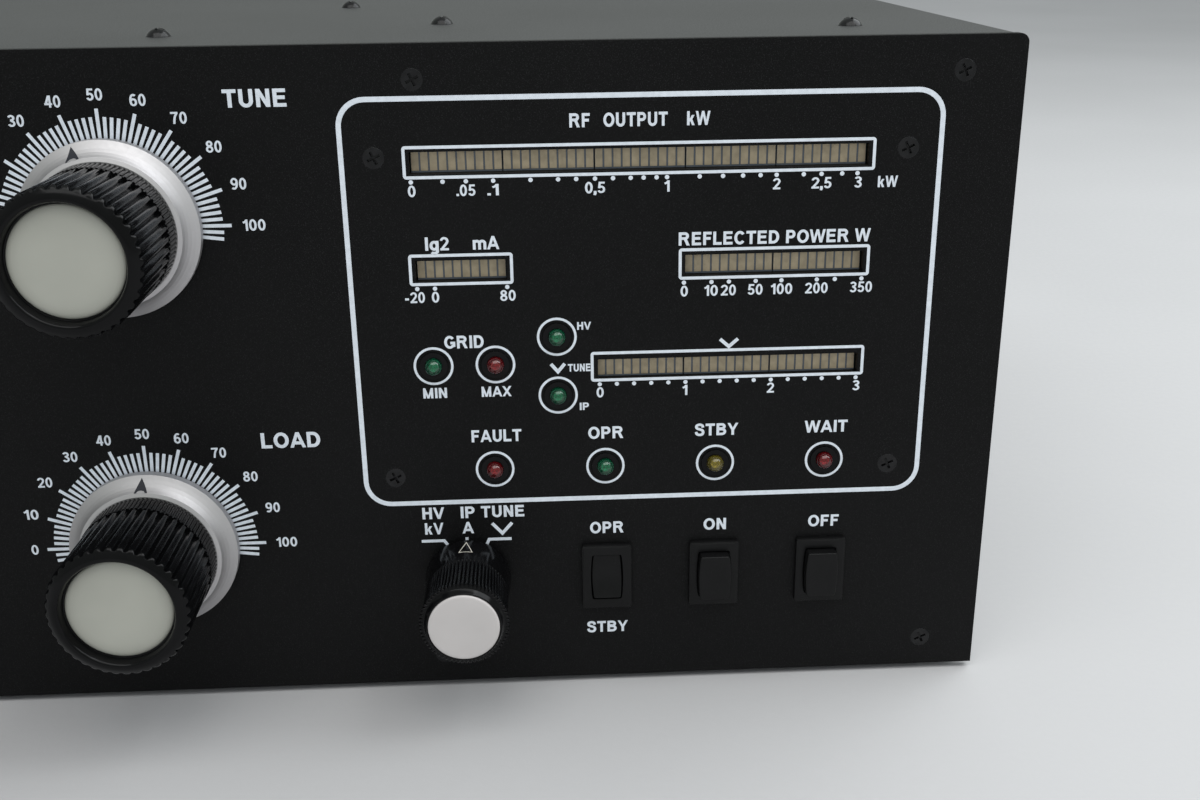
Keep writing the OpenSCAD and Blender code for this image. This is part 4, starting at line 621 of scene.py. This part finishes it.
def print_display():
    x0, z0, x1, z1 = FRAME_BOX
    half = FRAME_LINE / 2
    line = rounded(x0 + half, z0 + half, x1 - half, z1 - half, FRAME_CORNER - half)
    solid("display_frame_print", fused(band(line, FRAME_LINE)), on_panel, "chassis", INK)
    outlines = [outline(OUTPUT_ROW, 0.15), outline(GRID_ROW, 0.4), outline(REFLECTED_ROW, 0.4),
                outline(PLATE_ROW, 0.85)]
    solid("window_outline_print", joined(outlines), on_panel, "chassis", INK)
    rings = [fused(band(circle(x, z, LAMP_RING_R), LAMP_RING_LINE)) for x, z in LAMPS]
    solid("lamp_ring_print", joined(rings), on_panel, "chassis", INK)


# Places of the scale dots, in millimetres from the panel's middle
OUTPUT_DOTS = (73.3, 82, 88.4, 95.9, 106.2, 113.8, 118.8, 124, 129, 133.9, 137.5, 141.1, 144, 153.1,
               159.6, 165.2, 170.1, 174.6, 182.2, 187.2, 193, 197.3)
GRID_DOTS = (73.3, 78.3, 98.7)
REFLECTED_DOTS = (149, 156.9, 161.9, 169.6, 177, 187.2, 192.4, 200.1)
PLATE_DOTS = [124.6 + 5.03 * i for i in range(16)]


def print_scales():
    dots = [(x, OUTPUT_DOT_Z) for x in OUTPUT_DOTS]
    dots += [(x, SMALL_DOT_Z) for x in GRID_DOTS + REFLECTED_DOTS]
    dots += [(x, PLATE_DOT_Z) for x in PLATE_DOTS]
    solid("scale_dot_print", joined([fused(disc(x, z, DOT_R)) for x, z in dots]), on_panel, "chassis",
          INK)
    numbers = [(text, x, OUTPUT_DOT_Z - NUMBER_DROP, SMALL_CAP, width) for text, x, width in (
        ("0", 73.4, 2.1), (".05", 88.3, 5.2), (".1", 95.8, 3.1), ("0,5", 124, 5.6), ("1", 144, 1.5),
        ("2", 174.7, 2.1), ("2,5", 187.3, 5.6), ("3", 197.6, 2.1), ("kW", 206, 5.6))]
    numbers += [(text, x, SMALL_DOT_Z - NUMBER_DROP, SMALL_CAP, width) for text, x, width in (
        ("-20", 72.5, 5.6), ("0", 78.3, 2.1), ("80", 98.8, 4.4), ("0", 149.1, 2.1), ("10", 156.8, 3.9),
        ("20", 161.8, 4.3), ("50", 169.5, 4.3), ("100", 177.1, 6.2), ("200", 187.2, 6.5),
        ("350", 200.1, 6.4))]
    numbers += [(text, x, PLATE_DOT_Z - NUMBER_DROP, SMALL_CAP, width) for text, x, width in (
        ("0", 124.7, 2.1), ("1", 149.6, 1.5), ("2", 174.9, 2.1), ("3", 200.3, 2.1))]
    solid("meter_number_print", words(numbers), on_panel, "chassis", INK)


def print_legends():
    lamp_label = OPERATE_LAMP[1] + LAMP_LABEL_RISE
    pair_label = GRID_MIN_LAMP[1] - PAIR_LABEL_DROP
    switch_label = OPERATE_SWITCH[1] + SWITCH_LABEL_RISE
    legends = [
        ("RF", 120, 173.9, CAP, 5.6), ("OUTPUT", 135.3, 173.9, CAP, 17.6), ("kW", 152.6, 173.9, CAP, 6.4),
        ("Ig2", 79.5, 140.5, CAP, 6.6), ("mA", 93.2, 140.5, CAP, 7.4),
        ("REFLECTED POWER W", 174.7, 140.3, CAP, 54.6),
        ("GRID", 85.7, 111.6, CAP, 11.3),
        ("MIN", GRID_MIN_LAMP[0], pair_label, SMALL_CAP, 6.9),
        ("MAX", GRID_MAX_LAMP[0], pair_label, SMALL_CAP, 8.7),
        ("HV", PLATE_LAMPS[0][0] + 7.9, PLATE_LAMPS[0][1] + 3.1, TINY_CAP, 4),
        ("IP", PLATE_LAMPS[1][0] + 7.6, PLATE_LAMPS[1][1] - 3.7, TINY_CAP, 2.7),
        ("TUNE", 118.7, 102.9, TINY_CAP, 6.6),
        ("FAULT", FAULT_LAMP[0] + 0.8, lamp_label, CAP, 14.7),
        ("OPR", OPERATE_LAMP[0] + 0.2, lamp_label, CAP, 10.4),
        ("STBY", STANDBY_LAMP[0] + 0.3, lamp_label, CAP, 12.9),
        ("WAIT", WAIT_LAMP[0] + 0.2, lamp_label, CAP, 12.9),
        ("HV", 74, 57.9, CAP, 6.6), ("kV", 74, 52.8, CAP, 5.6), ("IP", 84.3, 57.9, CAP, 4.2),
        ("A", 84.2, 52.8, CAP, 3.5), ("TUNE", 94.8, 57.9, CAP, 13),
        ("OPR", OPERATE_SWITCH[0] + 0.2, switch_label, CAP, 10.2),
        ("ON", ON_SWITCH[0] + 0.3, switch_label, CAP, 6.9),
        ("OFF", OFF_SWITCH[0] + 0.8, switch_label, CAP, 9.4),
        ("STBY", OPERATE_SWITCH[0] + 0.1, OPERATE_SWITCH[1] - SWITCH_LABEL_DROP, CAP, 12.7),
        ("TUNE", 33, 181.4, DIAL_CAP, 16.9), ("LOAD", 33.7, 82.9, DIAL_CAP, 17.2),
    ]
    solid("legend_print", words(legends), on_panel, "chassis", INK)
    marks = [chevron(162.3, 109.3, 5.2, 2.3), chevron(112.5, 103, 4, 2.4), chevron(94.5, 52.3, 6, 3.4)]
    solid("tune_mark_print", joined(marks), on_panel, "chassis", INK)
    lines = [[(70, 48.7), (76.8, 48.7), (78.2, 46.7)], [(METER_X, 47.4), (METER_X, 49.6)],
             [(97.2, 48.7), (90.4, 48.7), (89.5, 46.7)]]
    strokes = [fused(band(line, SELECTOR_MARK_STROKE)) for line in lines]
    solid("selector_mark_print", joined(strokes), on_panel, "chassis", INK)


TICK_IN, TICK_MINOR, TICK_MAJOR = 24.3, 30.2, 32.4
TICK_LINE = 0.95
TICKS = 50
SPARE_TICKS = 2
DEGREES_PER_UNIT = 1.8
NUMBER_R = 36.1
# Widths of numbers by their count of digits. Wide ones stand further out beside the dial.
NUMBER_WIDTHS = {1: 2.1, 2: 4.25, 3: 6.2}
WIDE_NUMBER_SHIFT = 0.6


def spoke(cx, cz, degrees, inner, outer, line=TICK_LINE):
    way = Vector((math.cos(math.radians(degrees)), math.sin(math.radians(degrees))))
    return fused(band([(cx + way.x * r, cz + way.y * r) for r in (inner, outer)], line))


def print_dial(name, cx, cz):
    """A scale from 0 at the left over 50 at the top to 100 at the right."""
    ticks, numbers = [], []
    for i in range(-SPARE_TICKS, TICKS + 1 + SPARE_TICKS):
        major = i % 5 == 0 and 0 <= i <= TICKS
        ticks.append(spoke(cx, cz, 180 - 180 / TICKS * i, TICK_IN, TICK_MAJOR if major else TICK_MINOR))
    for value in range(0, 101, 10):
        turn = math.radians(180 - DEGREES_PER_UNIT * value)
        width = NUMBER_WIDTHS[len(str(value))]
        r = NUMBER_R + WIDE_NUMBER_SHIFT * (width - NUMBER_WIDTHS[1]) * math.cos(turn) ** 2
        numbers.append((str(value), cx + r * math.cos(turn), cz + r * math.sin(turn), SMALL_CAP, width))
    solid(name + "_scale_print", joined(ticks), on_panel, "chassis", INK)
    solid(name + "_number_print", words(numbers), on_panel, "chassis", INK)


BANDS = ("1.8", "3.5", "7", "10", "14", "18", "21", "24", "28")
BAND_STEP = 30
BAND_TICK_IN, BAND_TICK_OUT = 15.2, 17.4
BAND_NUMBER_R, BAND_DIGIT_SHIFT = 20.4, 0.8


def print_band_scale():
    """Band names round the band knob, 30 degrees apart."""
    ticks, numbers = [], []
    for i, text in enumerate(BANDS):
        degrees = 90 - BAND_STEP * (i - len(BANDS) // 2)
        turn = math.radians(degrees)
        ticks.append(spoke(BAND_X, BAND_Z, degrees, BAND_TICK_IN, BAND_TICK_OUT))
        r = BAND_NUMBER_R + BAND_DIGIT_SHIFT * (len(text) - 1) * abs(math.cos(turn))
        numbers.append((text, BAND_X + r * math.cos(turn), BAND_Z + r * math.sin(turn), SMALL_CAP))
    solid("band_scale_print", joined(ticks), on_panel, "chassis", INK)
    numbers += [("BAND", BAND_X, BAND_Z + 30, DIAL_CAP, 17.5),
                ("MHz", BAND_X, BAND_Z - 20, SMALL_CAP, 8)]
    solid("band_number_print", words(numbers), on_panel, "chassis", INK)


# ---------------------------------------------------------------- pointers on the moving pieces

POINTER_FOOT, POINTER_TIP, POINTER_W = 20.6, 24.0, 3.9
DIAL_READINGS = {"tune": (TUNE_X, TUNE_Z, 41), "load": (LOAD_X, LOAD_Z, 49.5)}


def strips(left, right, tip, count=8):
    """A triangle cut across in strips, so that it can bend over a curved surface."""
    quads = []
    for i in range(count):
        a, b = i / count, (i + 1) / count
        lower = [left.lerp(tip, a), right.lerp(tip, a)]
        upper = [right.lerp(tip, b), left.lerp(tip, b)]
        quads.append(leftward([tuple(p) for p in lower + upper[:2 if i + 1 < count else 1]]))
    return quads


def dial_pointer(name):
    cx, cz, reading = DIAL_READINGS[name]
    turn = math.radians(180 - DEGREES_PER_UNIT * reading)
    way = Vector((math.cos(turn), math.sin(turn)))
    side = Vector((math.sin(turn), -math.cos(turn)))
    left, right = (way * POINTER_FOOT + side * POINTER_W / 2 * s for s in (-1, 1))
    shape = fused(strips(left, right, way * POINTER_TIP))
    origin = on_panel(cx, cz)[0]
    skirt = frame["nodes"][name + "_skirt"].data
    place = draped(skirt, origin, Vector((1, 0, 0)), Vector((0, 0, 1)))
    solid(name + "_pointer", shape, place, name + "_dial", POINTER_INK)


SELECTOR_MARK_W, SELECTOR_MARK_H, SELECTOR_MARK_LINE = 3.9, 5.6, 0.24
SELECTOR_MARK_D = 4.6  # from the back of the skirt to the middle of the mark


def finer(line, step=0.4):
    """The line with points added, so that it can bend over a curved surface."""
    points = [line[0]]
    for a, b in zip(line, line[1:]):
        a, b = Vector(a), Vector(b)
        count = max(1, round((b - a).length / step))
        points += [tuple(a.lerp(b, i / count)) for i in range(1, count + 1)]
    return points


def selector_pointer(knob, node, body):
    """Outlined triangle on the upper side of a selector knob's skirt."""
    lo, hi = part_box(node)
    origin = Vector(((lo.x + hi.x) / 2, hi.y - SELECTOR_MARK_D * MM, hi.z))
    w, h = SELECTOR_MARK_W / 2, SELECTOR_MARK_H / 2
    line = finer([(0, -h), (w, -h), (0, h), (-w, -h), (0, -h)])
    place = draped(knob.data, origin, Vector((1, 0, 0)), Vector((0, 1, 0)))
    mark = fused(band(line, SELECTOR_MARK_LINE))
    solid(node.replace("knob", "pointer"), mark, place, body, GOLD_INK)


# ---------------------------------------------------------------- knobs, caps and switches


SHARP_ANGLE = 38


def piece_of(name, points, faces, body, slot, replaced=()):
    """A smooth-shaded piece of the object that stands for the CAD nodes in replaced."""
    piece = linked(name, points, faces, MATERIALS[slot])
    piece.data.shade_smooth()
    piece.data.set_sharp_from_angle(angle=math.radians(SHARP_ANGLE))
    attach(piece, body)
    if replaced:
        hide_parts(*replaced)
    return piece


def lofted(loops, closed):
    """Faces between loops of the same number of points, and over both ends unless closed."""
    n = len(loops[0])
    pairs = list(zip(range(len(loops)), range(1, len(loops))))
    if closed:
        pairs.append((len(loops) - 1, 0))
    faces = [(a * n + i, a * n + (i + 1) % n, b * n + (i + 1) % n, b * n + i)
             for a, b in pairs for i in range(n)]
    if not closed:
        faces += [tuple(reversed(range(n))), tuple(range((len(loops) - 1) * n, len(loops) * n))]
    return faces


# Share of the flutes' depth at equal steps from one ridge to the next
GROOVE = (0, 0.03, 0.15, 0.6, 1.0, 0.6, 0.15, 0.03)
PLAIN_SIDES = 96


def turned_loops(profile, x, z, flutes=0, depth=0.0):
    """Loops of a profile of (radius, forward, share of depth) about an axis out of the panel."""
    per = len(GROOVE) if flutes else 1
    count = per * flutes if flutes else PLAIN_SIDES
    loops = []
    for r, forward, share in profile:
        loop = []
        for i in range(count):
            a = 2 * math.pi * i / count
            q = r - depth * share * GROOVE[i % per]
            spot = on_panel(x + q * math.sin(a), z + q * math.cos(a))[0]
            loop.append(spot + Vector((0, -forward * MM, 0)))
        loops.append(loop)
    return loops


BORE = 3.05
# Profiles of (radius, distance from the panel, share of the flutes' depth), in millimetres,
# from the back of the bore outwards
FLUTED_KNOB = ((BORE, 15.3, 0), (17.8, 15.3, 0), (18.9, 15.35, 0.6), (19.2, 15.6, 1), (19.3, 22, 1),
               (19.45, 31, 1), (19.6, 39.6, 1), (19.55, 40.1, 1), (19.3, 40.6, 0.75),
               (18.9, 40.95, 0.25), (18.65, 41.05, 0), (18.3, 41.3, 0), (17.7, 41.65, 0),
               (17.0, 41.9, 0), (16.4, 42.0, 0), (16.0, 41.93, 0), (15.7, 41.65, 0), (15.45, 41.1, 0),
               (15.25, 40.2, 0), (15.1, 39.3, 0), (15.05, 38.9, 0), (14.72, 38.85, 0),
               (14.72, 37.5, 0), (BORE, 37.5, 0))
FLUTES, FLUTE_DEPTH = 40, 1.15
SELECTOR_KNOB = ((BORE, 2.0, 0), (12.8, 2.0, 0), (13.0, 2.2, 0), (13.0, 3.0, 0), (12.8, 7.0, 0),
                 (12.5, 11.0, 0), (12.3, 13.4, 0), (12.3, 13.5, 0.1), (12.3, 13.9, 1), (12.3, 20, 1),
                 (12.35, 25.5, 1), (12.5, 27.2, 1), (12.75, 28.6, 1), (12.95, 29.5, 1),
                 (12.9, 29.9, 1), (12.5, 30.1, 0.9), (11.9, 30.2, 0.2), (11.6, 30.25, 0),
                 (11.45, 30.4, 0), (10.95, 31.5, 0), (10.75, 31.8, 0), (10.5, 31.85, 0),
                 (10.3, 31.7, 0), (10.25, 31.2, 0), (10.25, 29.9, 0), (BORE, 29.9, 0))
SELECTOR_FLUTES, SELECTOR_FLUTE_DEPTH = 66, 0.75
# Profiles of (radius, distance from the panel)
DIAL_CAP_DISC = ((0.02, 37.5), (14.68, 37.5), (14.68, 38.5), (14.6, 38.75), (14.4, 38.95),
                 (13.9, 39.13), (13.0, 39.3), (11.0, 39.43), (7.0, 39.5), (0.02, 39.5))
SELECTOR_CAP_DISC = ((0.02, 29.9), (10.2, 29.9), (10.2, 31.85), (10.1, 32.05), (9.85, 32.17),
                     (9.3, 32.2), (5.0, 32.22), (0.02, 32.22))


def turned_piece(name, profile, x, z, body, slot, replaced, flutes=0, depth=0.0):
    """A knob or a cap in place of the CAD node in replaced. Only knobs have a bore."""
    loops = turned_loops([(*point, 0)[:3] for point in profile], x, z, flutes, depth)
    points = [p for loop in loops for p in loop]
    return piece_of(name, points, lofted(loops, flutes > 0), body, slot, (replaced,))


def shape_knobs():
    for name, x, z in (("tune", TUNE_X, TUNE_Z), ("load", LOAD_X, LOAD_Z)):
        turned_piece(name + "_fluted_knob", FLUTED_KNOB, x, z, name + "_control", "gloss_black",
                     name + "_knob", FLUTES, FLUTE_DEPTH)
        turned_piece(name + "_domed_cap", DIAL_CAP_DISC, x, z, name + "_control", "dial_cap_grey",
                     name + "_knob_cap")
    for name, x, z in (("meter", METER_X, METER_Z), ("band", BAND_X, BAND_Z)):
        body = name + "_selector"
        knob = turned_piece(name + "_skirted_knob", SELECTOR_KNOB, x, z, body, "gloss_black",
                            name + "_knob", SELECTOR_FLUTES, SELECTOR_FLUTE_DEPTH)
        turned_piece(name + "_domed_cap", SELECTOR_CAP_DISC, x, z, body, "selector_cap_grey",
                     name + "_knob_cap")
        selector_pointer(knob, name + "_knob", body)


def bowed_loop(w, h, r, bow=0.0, corner=5, side=6):
    """A round-cornered rectangle whose upright sides bow out to the width w at the middle."""
    half_w, half_h = w / 2 - bow, h / 2
    points = []
    for sx, sy, start in ((1, -1, -90), (1, 1, 0), (-1, 1, 90), (-1, -1, 180)):
        cx, cy = sx * (half_w - r), sy * (half_h - r)
        points += [(cx + r * math.cos(math.radians(start + 90 * i / corner)),
                    cy + r * math.sin(math.radians(start + 90 * i / corner))) for i in range(corner + 1)]
        nx, ny = {(1, -1): (half_w, half_h - r), (1, 1): (r - half_w, half_h),
                  (-1, 1): (-half_w, r - half_h), (-1, -1): (half_w - r, -half_h)}[(sx, sy)]
        x, y = points[-1]
        points += [(x + (nx - x) * i / side, y + (ny - y) * i / side) for i in range(1, side)]
    return [(x + math.copysign(bow, x) * (1 - (y / half_h) ** 2) * min(1, abs(x) / half_w), y)
            for x, y in points]


def shrunk(loop, share):
    return [(x * share, y * share) for x, y in loop]


def raised(loop, forward):
    """A flat loop as points of (right, up, forward), forward being a number or a function of up."""
    return [(x, y, forward(y) if callable(forward) else forward) for x, y in loop]


def on_switch(loops, centre, tilt=0.0):
    """Loops of (right, up, forward) placed at a switch, turned about its level axis."""
    c, s = math.cos(math.radians(tilt)), math.sin(math.radians(tilt))
    return [on_panel(centre[0] + x, centre[1] + y * c + d * s)[0] + Vector((0, (y * s - d * c) * MM, 0))
            for loop in loops for x, y, d in loop]


BEZEL_W, BEZEL_H, BEZEL_T = 15.1, 21.1, 2.08
CORNER_R = 0.5
SOFT_CORNER_R = 0.6
SIDE_BOW = 0.5
ROCKER_W, ROCKER_R, ROCKER_FACE, ROCKER_DIP, ROCKER_TILT = 9.2, 7.3, 2.4, 1.0, 9.0
BUTTON_W, BUTTON_H, BUTTON_FRONT, BUTTON_DIP, BUTTON_BACK = 9.9, 14.5, 5.4, 0.3, -8.0
# How much wider and higher than the rocker or button an opening is
ROCKER_ROOM, BUTTON_ROOM = (0.6, 0.25), (0.5, 0.6)


def switch_frame(w, h):
    """Loops of a frame with a cut edge outside and a softened one round its opening."""
    outside = ((0, 0), (0, 1.5), (0.15, 1.6), (0.85, BEZEL_T - 0.03), (1.1, BEZEL_T))
    loops = [raised(bowed_loop(BEZEL_W - cut, BEZEL_H - cut, CORNER_R), forward) for cut, forward in outside]
    return loops + [raised(bowed_loop(w + 0.2, h + 0.2, SOFT_CORNER_R, SIDE_BOW), BEZEL_T),
                    raised(bowed_loop(w, h, CORNER_R, SIDE_BOW), BEZEL_T - 0.12),
                    raised(bowed_loop(w, h, CORNER_R, SIDE_BOW), 0)]


def rocker_loops():
    """Loops from the round back of the rocker over its edge and in over its hollow face."""
    half = math.sqrt(ROCKER_R ** 2 - ROCKER_FACE ** 2)

    def face(up, drop=0):
        return ROCKER_FACE - ROCKER_DIP * (1 - (up / half) ** 2) - drop

    loops = []
    for d in (-4.5, -3, -1.5, -0.5):
        height = 2 * math.sqrt(ROCKER_R ** 2 - d * d)
        loops.append(raised(bowed_loop(ROCKER_W, height, CORNER_R, SIDE_BOW), d))
    for cut, drop in ((0, 0.25), (0.15, 0.08), (0.5, 0)):
        loop = bowed_loop(ROCKER_W - cut, 2 * half - cut, CORNER_R, SIDE_BOW)
        loops.append([(x, y, face(y, drop)) for x, y in loop])
    rim = bowed_loop(ROCKER_W, 2 * half, CORNER_R, SIDE_BOW)
    loops += [raised(shrunk(rim, share), face) for share in (0.8, 0.6, 0.4, 0.2, 0.03)]
    return loops


def button_loops():
    """Loops from the back of a push button over its edge and in over its dished face."""
    w, h, front = BUTTON_W, BUTTON_H, BUTTON_FRONT
    rim = bowed_loop(w, h, SOFT_CORNER_R, SIDE_BOW)
    loops = [raised(rim, d) for d in (BUTTON_BACK, 0, front - 0.4)]
    loops += [raised(bowed_loop(w - cut, h - cut, SOFT_CORNER_R, SIDE_BOW), front - drop)
              for cut, drop in ((0.12, 0.18), (0.4, 0.04), (0.8, 0))]
    loops += [raised(shrunk(rim, share), front - BUTTON_DIP * dip)
              for share, dip in ((0.7, 0.45), (0.4, 0.8), (0.1, 1))]
    return loops


def shape_switches():
    """The rocker and the buttons in place of the CAD's, and frames over the CAD's housings."""
    points, faces = [], []
    rocker_opening = (ROCKER_W + ROCKER_ROOM[0], 2 * ROCKER_R + ROCKER_ROOM[1])
    button_opening = (BUTTON_W + BUTTON_ROOM[0], BUTTON_H + BUTTON_ROOM[1])
    for centre, opening in ((OPERATE_SWITCH, rocker_opening), (ON_SWITCH, button_opening),
                            (OFF_SWITCH, button_opening)):
        loops = switch_frame(*opening)
        faces += [tuple(i + len(points) for i in face) for face in lofted(loops, True)]
        points += on_switch(loops, centre)
    piece_of("switch_frames", points, faces, "chassis", "switch_black")
    loops = rocker_loops()
    piece_of("hollow_rocker", on_switch(loops, OPERATE_SWITCH, ROCKER_TILT), lofted(loops, False),
             "standby_switch", "switch_black", ("standby_rocker",))
    loops = button_loops()
    for centre, name in ((ON_SWITCH, "on"), (OFF_SWITCH, "off")):
        piece_of(name + "_bowed_button", on_switch(loops, centre), lofted(loops, False), name + "_switch",
                 "switch_black", (name + "_button",))


# ---------------------------------------------------------------- lamps

CUP_PROFILE = ((0.0, 0.35), (0.25, 0.35), (0.75, 0.95), (0.95, 0.95), (0.95, 0.6), (0.4, 0.1),
               (0.0, 0.1))
CUP_SIDES = 20


def revolved(profile, centre):
    """Points and faces of a closed profile of (radius, forward) turned about an axis along -Y."""
    rings = [[centre + Vector((r * math.cos(a), -d, r * math.sin(a))) * MM
              for a in (2 * math.pi * i / CUP_SIDES for i in range(CUP_SIDES))]
             for r, d in profile]
    faces = []
    for k in range(len(profile) - 1):
        a, b = k * CUP_SIDES, (k + 1) * CUP_SIDES
        for i in range(CUP_SIDES):
            j = (i + 1) % CUP_SIDES
            faces.append((a + i, a + j, b + j, b + i))
    return [p for ring in rings for p in ring], faces


def lamp_cups():
    """The bright reflector cup inside each lamp."""
    points, faces = [], []
    for x, z in LAMPS:
        some, quads = revolved(CUP_PROFILE, on_panel(x, z)[0])
        faces += [tuple(i + len(points) for i in quad) for quad in quads]
        points += some
    cups = linked("lamp_cups", points, faces, MATERIALS["socket_nickel"])
    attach(cups, "chassis")


# ---------------------------------------------------------------- stage, light and camera

CAMERA_AT = (0.1084, -0.5519, 0.2274)
CAMERA_TURN = (69.98, 0.68, -2.8)
CAMERA_LENS = 39.63
FLOOR_COLOR = (0.48, 0.475, 0.47)
BACKDROP_COLOR = (0.42, 0.45, 0.43)
ROOM_COLOR = (0.9, 0.95, 1.0)
ROOM_STRENGTH = 0.72
FLOOR_SIZE = 12


def floor():
    half = FLOOR_SIZE / 2
    corners = [(-half, -half, 0), (half, -half, 0), (half, half, 0), (-half, half, 0)]
    paint = surface("table_white", FLOOR_COLOR, 0.6, grain=300, depth=0.1, mottle=3, patchy=0.03)
    plane = linked("floor", corners, [(0, 1, 2, 3)], paint)


def room():
    """Soft light from all round. Camera, mirror and glass rays see the pale backdrop."""
    world = bpy.data.worlds.new("room")
    bpy.context.scene.world = world
    world.use_nodes = True
    nodes, links = world.node_tree.nodes, world.node_tree.links
    nodes.clear()
    rays = nodes.new("ShaderNodeLightPath")
    seen = nodes.new("ShaderNodeMath")
    seen.operation = "MAXIMUM"
    links.new(rays.outputs["Is Camera Ray"], seen.inputs[0])
    links.new(rays.outputs["Is Glossy Ray"], seen.inputs[1])
    clear = nodes.new("ShaderNodeMath")
    clear.operation = "MAXIMUM"
    links.new(seen.outputs[0], clear.inputs[0])
    links.new(rays.outputs["Is Transmission Ray"], clear.inputs[1])
    light = nodes.new("ShaderNodeBackground")
    light.inputs["Color"].default_value = (*ROOM_COLOR, 1)
    light.inputs["Strength"].default_value = ROOM_STRENGTH
    backdrop = nodes.new("ShaderNodeBackground")
    backdrop.inputs["Color"].default_value = (*BACKDROP_COLOR, 1)
    mixed = nodes.new("ShaderNodeMixShader")
    links.new(clear.outputs[0], mixed.inputs["Fac"])
    links.new(light.outputs[0], mixed.inputs[1])
    links.new(backdrop.outputs[0], mixed.inputs[2])
    output = nodes.new("ShaderNodeOutputWorld")
    links.new(mixed.outputs[0], output.inputs["Surface"])


def lamp(name, at, target, width, height, power, color=(1, 1, 1)):
    light = bpy.data.lights.new(name, "AREA")
    light.shape = "RECTANGLE"
    light.size, light.size_y = width, height
    light.energy = power
    light.color = color
    lit = bpy.data.objects.new(name, light)
    bpy.context.scene.collection.objects.link(lit)
    lit.location = at
    lit.rotation_euler = (Vector(target) - Vector(at)).to_track_quat("-Z", "Y").to_euler()


def studio():
    floor()
    room()
    lamp("window_light", (1.2, 0.1, 1.4), (0, 0, 0.1), 1.6, 1.2, 22, (0.93, 0.97, 1.0))
    lamp("ceiling_light", (0.1, -0.9, 1.7), (0, -0.2, 0.1), 2.0, 1.2, 18)
    camera = bpy.data.cameras.new("camera")
    camera.lens = CAMERA_LENS
    camera.sensor_width = 36
    camera.sensor_fit = "HORIZONTAL"
    camera.clip_start = 0.01
    shot = bpy.data.objects.new("camera", camera)
    bpy.context.scene.collection.objects.link(shot)
    shot.matrix_world = (Matrix.Translation(CAMERA_AT)
                         @ Euler([math.radians(a) for a in CAMERA_TURN]).to_matrix().to_4x4())
    bpy.context.scene.camera = shot
    bpy.context.scene.view_settings.view_transform = "Standard"


studio()
dress_nodes()
print_display()
print_scales()
print_legends()
print_dial("tune", TUNE_X, TUNE_Z)
print_dial("load", LOAD_X, LOAD_Z)
print_band_scale()
dial_pointer("tune")
dial_pointer("load")
shape_knobs()
shape_switches()
lamp_cups()
